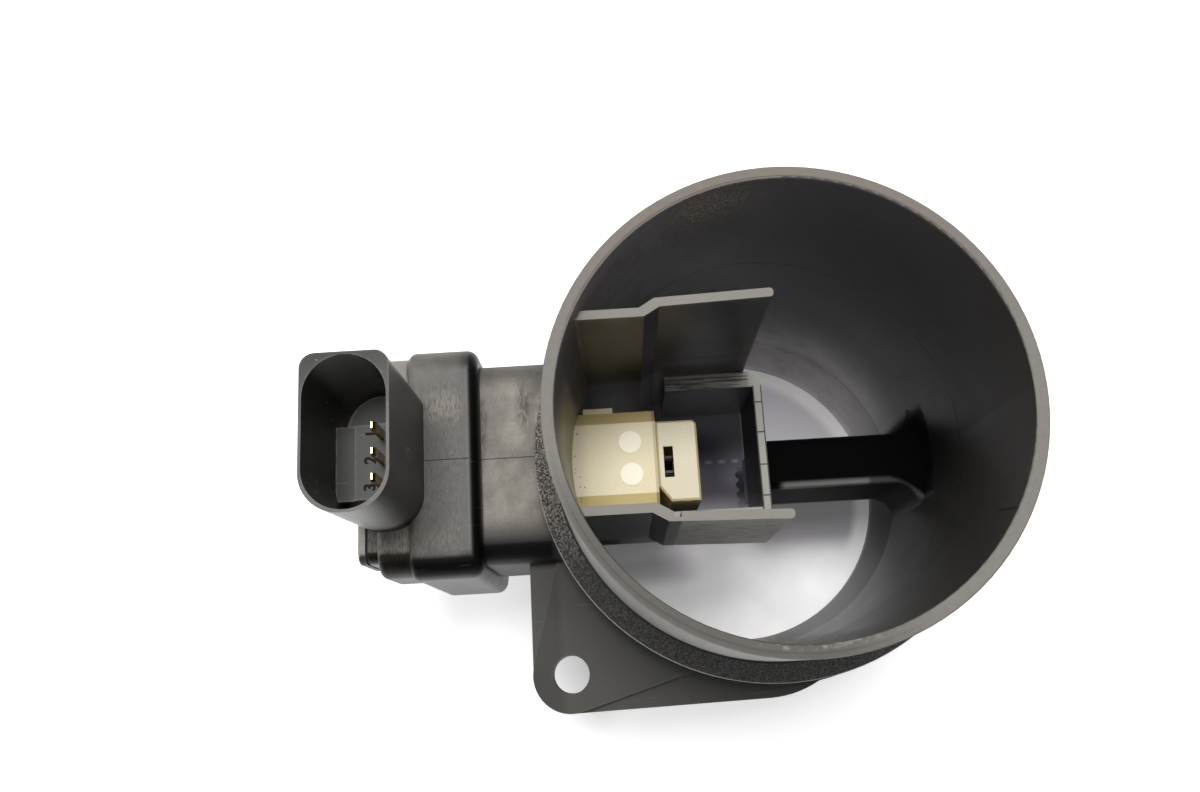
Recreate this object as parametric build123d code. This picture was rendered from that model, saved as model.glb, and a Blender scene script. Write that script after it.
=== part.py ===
from build123d import *

import os
from math import acos, atan2, cos, hypot, radians, sin, tan

# Plug-in mass airflow sensor in its own duct.
#
# The duct's bore runs along +Z, with the origin on its axis at the rear (inlet) end face.
# The sensor module is plugged in from the -X side, and its connector opens towards +Z.
# All sizes are millimetres.

# ------------------------------------------------------------------ driving dimensions
# duct
DUCT_LENGTH = 105.0  # rear end face to front rim
HOSE_R = 40.0  # outside radius of the front hose spigot (80 mm hose)
WALL = 2.2  # duct wall at the front rim
BORE_DRAFT = 0.5  # bore radius lost from the front rim to the joint of the two cores
CORE_JOINT_Z = 68.0  # height where the front and rear mould cores meet
REAR_WALL = 3.4  # hose spigot's radius less the bore's at the start of the inlet nozzle
NOZZLE_Z = 17.0  # height where the inlet nozzle starts
NOZZLE_IN = 2.1  # bore radius lost along the nozzle
INLET_LAND = 3.0  # straight part of the bore behind the end face
BEAD_PROUD = 3.9  # hose stop bead, above the hose spigot
BEAD_H = 2.6
BEAD_FLARE = 3.0
SPIGOT_STEP = 0.6  # the spigot that enters the air box is thinner by this radius
TIP_TAPER = 2.2  # radius lost from there to the rear end face
RIM_ROUND = 0.35

# mounting flange
FLANGE_RIM = 4.7  # width of the round plate outside the hose spigot
FLANGE_Z = 49.0  # rear face, which seats on the air box
FLANGE_T = 6.0
EAR_R = 7.3
SCREW_X = 39.5
SCREW_Y = 40.3
SCREW_HOLE_R = 3.6
SHOULDER_R = 20.0  # the plate widens towards each ear by two shoulders
SHOULDER_IN = 2.0  # centre of a shoulder, along and across
SHOULDER_OUT = 26.7
WEB_H = 1.4  # raised web that carries each ear
WEB_R = 35.0  # the edges of the web run tangent to this circle

# seal of the rear spigot
SEAL_CORD_R = 1.4
SEAL_Z = 21.5
SEAL_GROOVE_DEPTH = 1.4
SEAL_SIDE_GAP = 0.2

# measuring channel, sensor axis
SENSOR_Y = 0.9  # the probe sits this far to one side of the bore axis
MODULE_Y = 1.5  # and so do the neck and the case
CHANNEL_FRONT_Z = 101.0
CHANNEL_T = 1.55
CHANNEL_HALF = 18.6  # outer half-height of the channel at the step
CHANNEL_STEP = 1.55  # how far the walls step in beside the duct wall
CHANNEL_STEP_X = -20.6
CHANNEL_STEP_RUN = 2.6
CHANNEL_END_X = -0.8
CHANNEL_SPLAY = 1.8  # degrees by which each wall opens towards the free end
NOTCH_W = 1.2  # notch in the lower wall's inner side, beside the step
NOTCH_DEPTH = 0.9

# inner sleeve round the probe's nose
SLEEVE_FRONT_Z = 55.0
SLEEVE_REAR_Z = 31.0
SLEEVE_X0 = -17.5
SLEEVE_INNER_X = 0.5
SLEEVE_T = 1.8
SLEEVE_TOP_Y = 15.1
SLEEVE_BOTTOM_Y = -9.8
SLEEVE_BAR = 3.2
SLEEVE_CORNER_R = 3.0

# strut from the sleeve to the far wall
STRUT_Z0 = 18.0
STRUT_Z1 = 43.0
STRUT_HALF = 5.3
STRUT_FLARE = 5.0
STRUT_ROUND = 1.6

# neck for the sensor module
NECK_HALF_Y = 20.2
NECK_Z0 = 27.0
NECK_Z1 = 62.0
NECK_CORNER = 5.0
NECK_END_X = -54.9
NECK_LIP = 3.6  # length of the neck's lip inside the case
NECK_LIP_INSET = 1.2
NECK_WALL = 1.6

INNER_CORNER = 0.8  # least corner radius of the hollows in neck and case

# sensor probe
PROBE_HALF_Y = 9.95
PROBE_FACE_HALF = 7.2
PROBE_Z0 = 38.0
PROBE_Z1 = 58.8
PROBE_CHAMFER_Z = 2.4
PROBE_TIP_X = -12.0
PROBE_GAP = 0.35  # clearance where the probe passes through the duct wall
PLUG_X0 = -43.0  # inner end of the probe's plug in the neck
PLUG_WALL = 2.5
PLUG_POCKET = 14.0  # depth of the plug's pocket, from the case side
PLUG_GAP = 0.25
PLUG_SEAL_X = -54.0
PLUG_SEAL = 2.4  # width and height of the plug's seal
DISC_R = 2.3  # two raised discs on the probe's face
DISC_X = -25.4
DISC_PITCH = 6.5
DISC_RAISE = 0.15
TAB_X0 = -34.6  # locating tab on the probe's side
TAB_X1 = -28.6
TAB_T = 1.1
TAB_DEPTH = 6.0
NOSE_X = -20.2
NOSE_RAISE = 0.7
NOSE_DEPTH = 5.0
NOSE_TOP_Y = 7.0
NOSE_BOTTOM_Y = -9.2
NOSE_CHAMFER_X = 2.3
NOSE_CHAMFER_Y = 3.1
NOSE_CORNER_R = 1.2
NOSE_EDGE = 0.4
NOSE_ROOF = 1.2  # thickness over the air path
SLOT_X = -17.95
SLOT_W = 1.9
SLOT_L = 6.2
SLOT_Y = -1.3
BYPASS_W = 3.4
BYPASS_L = 9.0

# electronics case
BAND_HALF_Y = 22.8
CASE_Z0 = 15.0
CASE_Z1 = 66.0
BAND_CORNER = 5.0
BAND_END_X = -68.9
BAND_EDGE = 1.6
BAND_FRONT_EDGE = 2.4  # on the side towards the duct
BAND_PROUD = 0.8  # how far the band stands out from the box behind it
BOX_Z0 = 41.0  # the box is shallower than the band
BOX_CORNER = 6.5
CASE_END_X = -75.2
MOUTH_INSET = 3.0
MOUTH_LENGTH = 2.2
CASE_WALL = 2.0
GASKET_T = 0.5
COVER_T = 1.5
COVER_EDGE = 0.5
PARTITION_X = -66.5
PARTITION_T = 2.0
WINDOW = 6.0  # square window for the leads

# connector
SHROUD_X = -73.15
SHROUD_W = 15.2
SHROUD_H = 27.3
SHROUD_TOP_Z = 97.5
SHROUD_BASE_Z = 63.2
SHROUD_WALL = 0.5
SHROUD_CORNER = 2.6  # on the +Y side
SHROUD_ROUND = 7.0  # on the -Y side, where the rim follows the oval
SHROUD_TAPER = 0.9  # the round side draws in by this towards the base
SOCKET_DRAFT = 1.5  # degrees
SOCKET_FLOOR_Z = 70.0
PLATFORM_Z = 78.0  # pad that carries the pins
PLATFORM_TOP_Y = 5.3
PLATFORM_BOTTOM_Y = -8.6
PLATFORM_LOW_X = -76.0  # the pad is lower on the far side of this line
PLATFORM_STEP = 0.8
PAD_R = 5.65  # half-round pad beside the pins
PAD_X = -71.5
PAD_Z = 76.5
PIN_PITCH = 4.6
PIN_ROW_Y = -1.4  # centre of the pin row, from the sensor axis
PIN_COUNT = 3
PIN_T = 0.8
PIN_W = 1.6
PIN_TOP_Z = 87.0
PIN_TAPER = 0.25  # drawn in on each side at the tip
PIN_TIP = 1.4  # length of the tapered tip
PIN_TAIL = 2.2  # length soldered to the board

# electronics
SPREADER_T = 1.0
BOARD_T = 1.0
BOARD_GAP = 0.8  # between board and case wall
CHIP = 7.0  # side of the square control chip
CHIP_H = 1.4
CHIP_LEG = 0.9
CHIP_LEGS = 6  # on each of two sides
TRANSISTOR_W = 6.5
TRANSISTOR_L = 6.0
TRANSISTOR_H = 2.3
CAPACITOR = (1.2, 2.0, 1.2)  # height, length and width
RESISTOR = (0.6, 1.6, 0.9)
ROW_COUNT = 5  # in the row of capacitors and in that of resistors
ROW_PITCH = 2.1
LEAD_W = 0.9
LEAD_T = 0.35
LEAD_ROW_PITCH = 3.0
LEAD_Z = 51.5
LEAD_PROUD = 1.0  # how far the leads stand out of the board
RIBBON_T = 0.2
PLATE_T = 0.5
PLATE_GAP = 0.6  # between an element plate and the wall of the air path
PLATE_EDGE = 0.6  # how far an element plate runs past its leads

# ------------------------------------------------------------------ worked-out values
BORE_FRONT_R = HOSE_R - WALL
BORE_JOINT_R = BORE_FRONT_R - BORE_DRAFT
REAR_BORE_R = HOSE_R - REAR_WALL
INLET_R = REAR_BORE_R - NOZZLE_IN
BEAD_R = HOSE_R + BEAD_PROUD
FLANGE_R = HOSE_R + FLANGE_RIM
REAR_SPIGOT_R = HOSE_R - SPIGOT_STEP
REAR_TIP_R = REAR_SPIGOT_R - TIP_TAPER
SCREWS = [(-SCREW_X, -SCREW_Y), (SCREW_X, SCREW_Y)]
SEAL_FLOOR_R = REAR_SPIGOT_R - SEAL_GROOVE_DEPTH
NOSE_JOINT_Z = PROBE_Z1 - NOSE_DEPTH
SLOT_CENTRE_Y = SENSOR_Y + SLOT_Y
PARTITION_BACK = PARTITION_X - PARTITION_T
SPREADER_BACK = PARTITION_BACK - SPREADER_T
BOARD_BACK = SPREADER_BACK - BOARD_T
MOUTH_X = CASE_END_X - MOUTH_LENGTH
COVER_X = MOUTH_X - GASKET_T
MOUTH_OUTLINE = BAND_PROUD + MOUTH_INSET
CAVITY_INSET = MOUTH_OUTLINE + CASE_WALL
PIN_X = BOARD_BACK - PIN_T / 2
BOARD_TOP_Z = CASE_Z1 - CAVITY_INSET - BOARD_GAP
BOARD_MID_Z = (BOX_Z0 + CASE_Z1) / 2
REAR_SLOPE = (BORE_JOINT_R - REAR_BORE_R) / (CORE_JOINT_Z - NOZZLE_Z)
STRUT_WALL_R = REAR_BORE_R + REAR_SLOPE * (STRUT_Z1 - NOZZLE_Z)
LEAD_END_X = BOARD_BACK - LEAD_PROUD


# ------------------------------------------------------------------ helpers
def ring_solid(points):
    """Solid of revolution about the bore axis from (radius, height) points."""
    return revolve(Plane.XZ * make_face(Polyline(*points, close=True)), Axis.Z)


def box_between(low, high):
    """Box from its lowest to its highest corner."""
    size = [b - a for a, b in zip(low, high)]
    return Pos(*low) * Box(*size, align=(Align.MIN, Align.MIN, Align.MIN))


def side_section(x, half_y, z0, z1, corner):
    """Rounded rectangle across the module's X axis, centred on its middle plane."""
    place = Plane(origin=(x, MODULE_Y, (z0 + z1) / 2), x_dir=(0, 1, 0), z_dir=(1, 0, 0))
    return place * RectangleRounded(2 * half_y, z1 - z0, corner)


def side_block(x_low, x_high, half_y, z0, z1, corner):
    """Rounded block along the module's X axis."""
    return extrude(side_section(x_low, half_y, z0, z1, corner), x_high - x_low)


def case_block(x_low, x_high, inset, z0=BOX_Z0, corner=BOX_CORNER):
    """Block with the outline of the case, drawn in by an inset."""
    half_y = BAND_HALF_Y - inset
    round_r = max(corner - inset, INNER_CORNER)
    return side_block(x_low, x_high, half_y, z0 + inset, CASE_Z1 - inset, round_r)


def linked_circles(first, first_r, second, second_r):
    """Two circles joined by their outer tangents."""
    across = Vector(*second) - Vector(*first)
    toward = atan2(across.Y, across.X)
    lean = acos((first_r - second_r) / across.length)
    ends = []
    for angle in (toward - lean, toward + lean):
        out = Vector(cos(angle), sin(angle))
        ends.append((Vector(*first) + out * first_r, Vector(*second) + out * second_r))
    (low_a, low_b), (high_a, high_b) = ends
    quad = make_face(Polyline(low_a, low_b, high_b, high_a, close=True))
    return Pos(*first) * Circle(first_r) + quad + Pos(*second) * Circle(second_r)


# ------------------------------------------------------------------ duct housing
def duct_outside():
    bead_z0 = CORE_JOINT_Z - BEAD_H
    return ring_solid(
        [
            (0, 0),
            (REAR_TIP_R, 0),
            (REAR_SPIGOT_R, NOZZLE_Z),
            (REAR_SPIGOT_R, FLANGE_Z),
            (HOSE_R, FLANGE_Z + FLANGE_T),
            (HOSE_R, bead_z0),
            (BEAD_R, bead_z0),
            (BEAD_R, CORE_JOINT_Z),
            (HOSE_R, CORE_JOINT_Z + BEAD_FLARE),
            (HOSE_R, DUCT_LENGTH),
            (0, DUCT_LENGTH),
        ]
    )


def bore():
    """The air path, run past both ends."""
    past = 1.0
    return ring_solid(
        [
            (0, -past),
            (INLET_R, -past),
            (INLET_R, INLET_LAND),
            (REAR_BORE_R, NOZZLE_Z),
            (BORE_JOINT_R, CORE_JOINT_Z),
            (BORE_FRONT_R, DUCT_LENGTH),
            (BORE_FRONT_R, DUCT_LENGTH + past),
            (0, DUCT_LENGTH + past),
        ]
    )


def flange():
    """Round plate with two screw ears, each strengthened by a raised web."""
    plate = Sketch() + Circle(FLANGE_R)
    webs = Sketch()
    for x, y in SCREWS:
        side = 1 if x > 0 else -1
        for shoulder in ((SHOULDER_IN, SHOULDER_OUT), (SHOULDER_OUT, SHOULDER_IN)):
            middle = (side * shoulder[0], side * shoulder[1])
            plate += linked_circles(middle, SHOULDER_R, (x, y), EAR_R)
        webs += linked_circles((0, 0), WEB_R, (x, y), EAR_R)
    solid = Pos(0, 0, FLANGE_Z) * extrude(plate, FLANGE_T)
    return solid + Pos(0, 0, FLANGE_Z + FLANGE_T) * extrude(webs, WEB_H)


def screw_holes():
    through = FLANGE_T + WEB_H + 2
    holes = Part()
    for x, y in SCREWS:
        holes += Pos(x, y, FLANGE_Z - 1) * Cylinder(
            SCREW_HOLE_R, through, align=(Align.CENTER, Align.CENTER, Align.MIN)
        )
    return holes


def seal_groove():
    half = SEAL_CORD_R + SEAL_SIDE_GAP
    return ring_solid(
        [
            (SEAL_FLOOR_R, SEAL_Z - half),
            (REAR_SPIGOT_R + 1, SEAL_Z - half),
            (REAR_SPIGOT_R + 1, SEAL_Z + half),
            (SEAL_FLOOR_R, SEAL_Z + half),
        ]
    )


def wall_points(sign):
    """Plan of one channel wall: beside the duct it is stepped in, then it runs out
    to the free end and opens by the splay angle."""
    run = CHANNEL_END_X - CHANNEL_STEP_X
    flare = run * tan(radians(CHANNEL_SPLAY))
    step_x = CHANNEL_STEP_X - CHANNEL_STEP_RUN
    inner = CHANNEL_HALF - CHANNEL_T
    outline = [
        (-HOSE_R, CHANNEL_HALF - CHANNEL_STEP),
        (step_x, CHANNEL_HALF - CHANNEL_STEP),
        (CHANNEL_STEP_X, CHANNEL_HALF),
        (CHANNEL_END_X, CHANNEL_HALF + flare),
        (CHANNEL_END_X, inner + flare),
        (CHANNEL_STEP_X + CHANNEL_T / 2, inner),
        (step_x + CHANNEL_T / 2, inner - CHANNEL_STEP),
        (-HOSE_R, inner - CHANNEL_STEP),
    ]
    return [(x, SENSOR_Y + sign * y) for x, y in outline]


def channel_walls():
    """The upper wall runs down past the sleeve, the lower one ends at the core joint."""
    walls = Part()
    for sign, low_z in ((1, SLEEVE_REAR_Z), (-1, CORE_JOINT_Z - 1.0)):
        plan = make_face(Polyline(*wall_points(sign), close=True))
        corners = plan.vertices().filter_by_position(Axis.X, CHANNEL_END_X - 0.01, CHANNEL_END_X + 0.01)
        plan = fillet(corners, CHANNEL_T * 0.4)
        walls += Pos(0, 0, low_z) * extrude(plan, CHANNEL_FRONT_Z - low_z)
    inner_y = SENSOR_Y - CHANNEL_HALF + CHANNEL_T
    notch_x = CHANNEL_STEP_X + CHANNEL_T / 2
    notch = (notch_x, inner_y - NOTCH_DEPTH, CORE_JOINT_Z - 1.0)
    return walls - box_between(notch, (notch_x + NOTCH_W, inner_y + 1, CHANNEL_FRONT_Z))


def sleeve():
    """Three-sided sleeve round the probe's nose, hung on the upper channel wall."""
    outer_x = SLEEVE_INNER_X + SLEEVE_T
    top = SLEEVE_TOP_Y + SLEEVE_BAR
    bottom = SLEEVE_BOTTOM_Y - SLEEVE_BAR
    outer = make_face(
        Polyline((SLEEVE_X0, bottom), (outer_x, bottom), (outer_x, top), (SLEEVE_X0, top), close=True)
    )
    right = outer.vertices().filter_by_position(Axis.X, outer_x - 0.01, outer_x + 0.01)
    outer = fillet(right, SLEEVE_CORNER_R)
    width = SLEEVE_INNER_X - SLEEVE_X0 + 1
    inside = Pos(SLEEVE_X0 - 1, SLEEVE_BOTTOM_Y) * Rectangle(
        width, SLEEVE_TOP_Y - SLEEVE_BOTTOM_Y, align=(Align.MIN, Align.MIN)
    )
    ring = Pos(0, 0, SLEEVE_REAR_Z) * extrude(outer - inside, SLEEVE_FRONT_Z - SLEEVE_REAR_Z)
    return ring


def sleeve_hanger():
    """Wall below the lower channel wall, which carries the sleeve."""
    low_y = SLEEVE_BOTTOM_Y - SLEEVE_BAR
    return box_between((-HOSE_R, low_y, SLEEVE_REAR_Z), (SLEEVE_INNER_X, low_y + CHANNEL_T, SLEEVE_FRONT_Z))


def strut():
    """Bar from the sleeve to the far wall, its sides curved out where it meets the duct."""
    x0 = SLEEVE_INNER_X + SLEEVE_T / 2
    start = Pos(x0, SENSOR_Y)
    side = (Align.MIN, Align.CENTER)
    plan = Circle(HOSE_R) - Circle(STRUT_WALL_R)
    plan += start * Rectangle(HOSE_R - x0, 2 * STRUT_HALF, align=side)
    corners = []
    for y in (SENSOR_Y - STRUT_HALF, SENSOR_Y + STRUT_HALF):
        corners.append(plan.vertices().sort_by_distance((STRUT_WALL_R, y))[0])
    plan = fillet(corners, STRUT_FLARE)
    plan &= start * Rectangle(HOSE_R - x0, 2 * (STRUT_HALF + STRUT_FLARE), align=side)
    bar = Pos(0, 0, STRUT_Z0) * extrude(plan, STRUT_Z1 - STRUT_Z0)
    front = bar.faces().sort_by(Axis.Z)[-1].edges()
    sides = [edge for edge in front if is_strut_side(edge)]
    return fillet(sides, STRUT_ROUND)


def is_strut_side(edge):
    """True for the strut's two straight sides and the flares that follow them."""
    if edge.geom_type == GeomType.LINE:
        return abs((edge % 0.5).X) > 0.99 and abs(edge.center().Y - SENSOR_Y) < STRUT_HALF + 0.01
    return edge.radius < 2 * STRUT_FLARE


def neck():
    """Neck from the duct to the case, with a lip that the case slips over."""
    body = side_block(NECK_END_X, -HOSE_R / 2, NECK_HALF_Y, NECK_Z0, NECK_Z1, NECK_CORNER)
    lip = side_block(NECK_END_X - NECK_LIP, NECK_END_X, *lip_section(0))
    return body + lip


def lip_section(inset):
    """Half-height, low and high face and corner of the lip, drawn in by an inset."""
    total = NECK_LIP_INSET + inset
    corner = max(NECK_CORNER - total, INNER_CORNER)
    return NECK_HALF_Y - total, NECK_Z0 + total, NECK_Z1 - total, corner


def neck_cavity():
    """Hollow of the neck, which the probe's plug fills."""
    return side_block(NECK_END_X - NECK_LIP - 1, PLUG_X0, *lip_section(NECK_WALL))


def rounded_rim(shell):
    """Both edges of the front rim are slightly rounded."""
    edges = shell.edges().filter_by(GeomType.CIRCLE)
    rim = edges.filter_by_position(Axis.Z, DUCT_LENGTH - 0.01, DUCT_LENGTH + 0.01)
    return fillet(rim, RIM_ROUND)


def make_duct_housing():
    """Duct, flange, neck, channel, sleeve and strut are one moulding."""
    overlap = 0.5
    inside = ring_solid(
        [
            (0, 0),
            (REAR_BORE_R + overlap, 0),
            (REAR_BORE_R + overlap, NOZZLE_Z),
            (BORE_JOINT_R + overlap, CORE_JOINT_Z),
            (BORE_FRONT_R + overlap, DUCT_LENGTH),
            (0, DUCT_LENGTH),
        ]
    )
    fittings = (channel_walls() + sleeve() + sleeve_hanger() + strut()) & inside
    shell = rounded_rim(duct_outside() + flange() + neck() - bore())
    shell -= neck_cavity()
    shell -= probe_block(PLUG_X0 - 1, -HOSE_R / 2, PROBE_GAP)
    return shell + fittings - screw_holes() - seal_groove()


def make_spigot_seal():
    """Rubber ring seated on the floor of its groove, its outside bevelled to a lip."""
    low = SEAL_Z - SEAL_CORD_R
    high = SEAL_Z + SEAL_CORD_R
    bevel = SEAL_CORD_R * 0.6
    lip_r = SEAL_FLOOR_R + 2 * SEAL_CORD_R
    return ring_solid(
        [
            (SEAL_FLOOR_R, low),
            (lip_r - bevel, low),
            (lip_r, low + bevel),
            (lip_r, high - bevel),
            (lip_r - bevel, high),
            (SEAL_FLOOR_R, high),
        ]
    )


# ------------------------------------------------------------------ sensor probe
def probe_block(x_low, x_high, grow):
    """Length of the probe: flat faces with chamfered edges, grown by a clearance."""
    half = PROBE_HALF_Y + grow
    face = PROBE_FACE_HALF + grow
    z0 = PROBE_Z0 - grow
    z1 = PROBE_Z1 + grow
    drop = PROBE_CHAMFER_Z
    upper = [(half, z0 + drop), (half, z1 - drop), (face, z1), (-face, z1)]
    lower = [(-half, z1 - drop), (-half, z0 + drop), (-face, z0), (face, z0)]
    place = Plane(origin=(x_low, SENSOR_Y, 0), x_dir=(0, 1, 0), z_dir=(1, 0, 0))
    section = place * make_face(Polyline(*upper, *lower, close=True))
    return extrude(section, x_high - x_low)


def nose_block(z0, z1):
    """Nose seen along the bore: one corner chamfered, the opposite one rounded."""
    y0 = SENSOR_Y + NOSE_BOTTOM_Y
    y1 = SENSOR_Y + NOSE_TOP_Y
    outline = make_face(
        Polyline(
            (NOSE_X, y1),
            (NOSE_X, y0 + NOSE_CHAMFER_Y),
            (NOSE_X + NOSE_CHAMFER_X, y0),
            (PROBE_TIP_X, y0),
            (PROBE_TIP_X, y1),
            close=True,
        )
    )
    corner = outline.vertices().sort_by_distance((PROBE_TIP_X, y1))[0]
    return Pos(0, 0, z0) * extrude(fillet(corner, NOSE_CORNER_R), z1 - z0)


def air_path(width, length, z0, z1):
    """Straight part of the air path through the nose."""
    return box_between(
        (SLOT_X - width / 2, SLOT_CENTRE_Y - length / 2, z0),
        (SLOT_X + width / 2, SLOT_CENTRE_Y + length / 2, z1),
    )


def lead_places():
    """Y and Z of each flat lead: two rows of two."""
    half = LEAD_ROW_PITCH / 2
    return [(SLOT_CENTRE_Y + y, LEAD_Z + z) for y in (-half, half) for z in (-half, half)]


def lead_bar(y, z):
    """One lead, from the board into the air path of the nose."""
    x_high = SLOT_X + BYPASS_W / 2 - PLATE_GAP
    return box_between((LEAD_END_X, y - LEAD_T / 2, z - LEAD_W / 2), (x_high, y + LEAD_T / 2, z + LEAD_W / 2))


def make_element_leads():
    return Compound(children=[lead_bar(y, z) for y, z in lead_places()])


def plug_block(x_low, x_high, inset):
    """Block with the outline of the neck's hollow, drawn in by an inset."""
    return side_block(x_low, x_high, *lip_section(NECK_WALL + inset))


def make_probe_seal():
    """Rubber ring between the plug's groove and the neck."""
    x_high = PLUG_SEAL_X + PLUG_SEAL
    return plug_block(PLUG_SEAL_X, x_high, 0) - plug_block(PLUG_SEAL_X, x_high, PLUG_SEAL)


def raised_discs():
    discs = Part()
    for side in (-0.5, 0.5):
        place = Pos(DISC_X, SENSOR_Y + side * DISC_PITCH, PROBE_Z1 + DISC_RAISE)
        discs += place * Cylinder(DISC_R, 2 * DISC_RAISE, align=(Align.CENTER, Align.CENTER, Align.MAX))
    return discs


def locating_tab():
    y0 = SENSOR_Y + PROBE_HALF_Y
    top_z = PROBE_Z1 - PROBE_CHAMFER_Z
    return box_between((TAB_X0, y0, top_z - TAB_DEPTH), (TAB_X1, y0 + TAB_T, top_z))


def make_probe_body():
    plug = plug_block(PARTITION_X, PLUG_X0, PLUG_GAP)
    pocket = plug_block(PARTITION_X, PARTITION_X + PLUG_POCKET, PLUG_WALL)
    groove_x0 = PLUG_SEAL_X - PLUG_GAP
    groove_x1 = PLUG_SEAL_X + PLUG_SEAL + PLUG_GAP
    groove = plug_block(groove_x0, groove_x1, PLUG_GAP) - plug_block(groove_x0, groove_x1, PLUG_SEAL)
    stem = probe_block(PLUG_X0, NOSE_X, 0)
    nose = nose_block(PROBE_Z0 + PROBE_CHAMFER_Z, NOSE_JOINT_Z)
    body = plug - pocket - groove + stem + nose + raised_discs() + locating_tab()
    body -= air_path(BYPASS_W, BYPASS_L, PROBE_Z0, NOSE_JOINT_Z + 1)
    for y, z in lead_places():
        body -= lead_bar(y, z)
    return body


def make_bypass_cover():
    """Nose cover with the air slot, its edges slightly broken."""
    top_z = PROBE_Z1 + NOSE_RAISE
    cover = nose_block(NOSE_JOINT_Z, top_z)
    rim = cover.faces().sort_by(Axis.Z)[-1].edges()
    cover = chamfer(rim, NOSE_EDGE)
    cover -= air_path(BYPASS_W, BYPASS_L, NOSE_JOINT_Z - 1, top_z - NOSE_ROOF)
    return cover - air_path(SLOT_W, SLOT_L, NOSE_JOINT_Z, top_z + 1)


def element_plate(y):
    """Ceramic plate on the face of one row of leads."""
    reach = LEAD_ROW_PITCH / 2 + LEAD_W / 2 + PLATE_EDGE
    half_x = BYPASS_W / 2 - PLATE_GAP
    low = (SLOT_X - half_x, y + LEAD_T / 2, LEAD_Z - reach)
    return box_between(low, (SLOT_X + half_x, y + LEAD_T / 2 + PLATE_T, LEAD_Z + reach))


def make_heater_plate():
    return element_plate(SLOT_CENTRE_Y - LEAD_ROW_PITCH / 2)


def make_temperature_plate():
    return element_plate(SLOT_CENTRE_Y + LEAD_ROW_PITCH / 2)


# ------------------------------------------------------------------ electronics case
def socket():
    """Oval hollow of the connector, with the pads that stand on its floor left solid."""
    depth = SHROUD_TOP_Z - SOCKET_FLOOR_Z
    shrink = 2 * depth * tan(radians(SOCKET_DRAFT))
    mouth_w = SHROUD_W - 2 * SHROUD_WALL
    mouth_h = SHROUD_H - 2 * SHROUD_WALL
    mouth = Pos(SHROUD_X, SENSOR_Y, SHROUD_TOP_Z) * SlotOverall(mouth_h, mouth_w, 90)
    floor = Pos(SHROUD_X, SENSOR_Y, SOCKET_FLOOR_Z) * SlotOverall(mouth_h - shrink, mouth_w - shrink, 90)
    hollow = loft([floor, mouth])
    low_z = PLATFORM_Z - PLATFORM_STEP
    edge_y = SENSOR_Y + PLATFORM_TOP_Y
    low_y = SENSOR_Y + PLATFORM_BOTTOM_Y
    far_x = SHROUD_X + SHROUD_W
    near_x = SHROUD_X - SHROUD_W
    hollow -= box_between((PLATFORM_LOW_X, low_y, SOCKET_FLOOR_Z), (far_x, edge_y, PLATFORM_Z))
    hollow -= box_between((near_x, low_y, SOCKET_FLOOR_Z), (PLATFORM_LOW_X, edge_y, low_z))
    pad = Cylinder(PAD_R, PAD_Z - SOCKET_FLOOR_Z, align=(Align.CENTER, Align.CENTER, Align.MIN))
    return hollow - Pos(PAD_X, edge_y, SOCKET_FLOOR_Z) * pad


def shroud_plan(z, draw_in):
    """Outline of the connector's wall: square-cornered on one side, round on the other."""
    place = Pos(SHROUD_X, SENSOR_Y + draw_in / 2, z)
    plan = place * Rectangle(SHROUD_W, SHROUD_H - draw_in)
    plan = fillet(plan.vertices().sort_by(Axis.Y)[:2], SHROUD_ROUND)
    return fillet(plan.vertices().sort_by(Axis.Y)[-2:], SHROUD_CORNER)


def shroud():
    return loft([shroud_plan(SHROUD_BASE_Z, SHROUD_TAPER), shroud_plan(SHROUD_TOP_Z, 0)])


def lead_window(x_low, x_high):
    half = WINDOW / 2
    return box_between(
        (x_low, SLOT_CENTRE_Y - half, LEAD_Z - half), (x_high, SLOT_CENTRE_Y + half, LEAD_Z + half)
    )


def cavity_block(x_low, x_high, inset):
    """Block with the outline of the case's rear cavity, drawn in by an inset."""
    return case_block(x_low, x_high, CAVITY_INSET + inset)


def make_electronics_case():
    """Band, box and connector are one moulding."""
    band = case_block(BAND_END_X, NECK_END_X, 0, CASE_Z0, BAND_CORNER)
    front = band.edges().filter_by_position(Axis.X, NECK_END_X - 0.01, NECK_END_X + 0.01)
    band = fillet(front, BAND_FRONT_EDGE)
    rear = band.edges().filter_by_position(Axis.X, BAND_END_X - 0.01, BAND_END_X + 0.01)
    band = fillet(rear, BAND_EDGE)
    box = case_block(CASE_END_X, PARTITION_X, BAND_PROUD)
    back = box.edges().filter_by_position(Axis.X, CASE_END_X - 0.01, CASE_END_X + 0.01)
    box = fillet(back, BAND_EDGE)
    mouth = case_block(MOUTH_X, PARTITION_X, MOUTH_OUTLINE)
    solid = band + box + mouth + shroud()
    solid -= side_block(PARTITION_X, NECK_END_X, *lip_section(0))
    solid -= cavity_block(MOUTH_X, PARTITION_BACK, 0)
    solid -= lead_window(PARTITION_BACK, PARTITION_X)
    solid -= socket()
    for y in pin_rows():
        solid -= pin_bar(y)
    return solid


def make_cover_gasket():
    outside = case_block(COVER_X, MOUTH_X, MOUTH_OUTLINE + COVER_EDGE)
    return outside - cavity_block(COVER_X, MOUTH_X, 0)


def make_case_cover():
    cover = case_block(COVER_X - COVER_T, COVER_X, MOUTH_OUTLINE)
    back = cover.faces().sort_by(Axis.X)[0].edges()
    return fillet(back, COVER_EDGE)


# ------------------------------------------------------------------ electronics
def pin_rows():
    middle = (PIN_COUNT - 1) / 2
    return [SENSOR_Y + PIN_ROW_Y + (middle - index) * PIN_PITCH for index in range(PIN_COUNT)]


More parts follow.
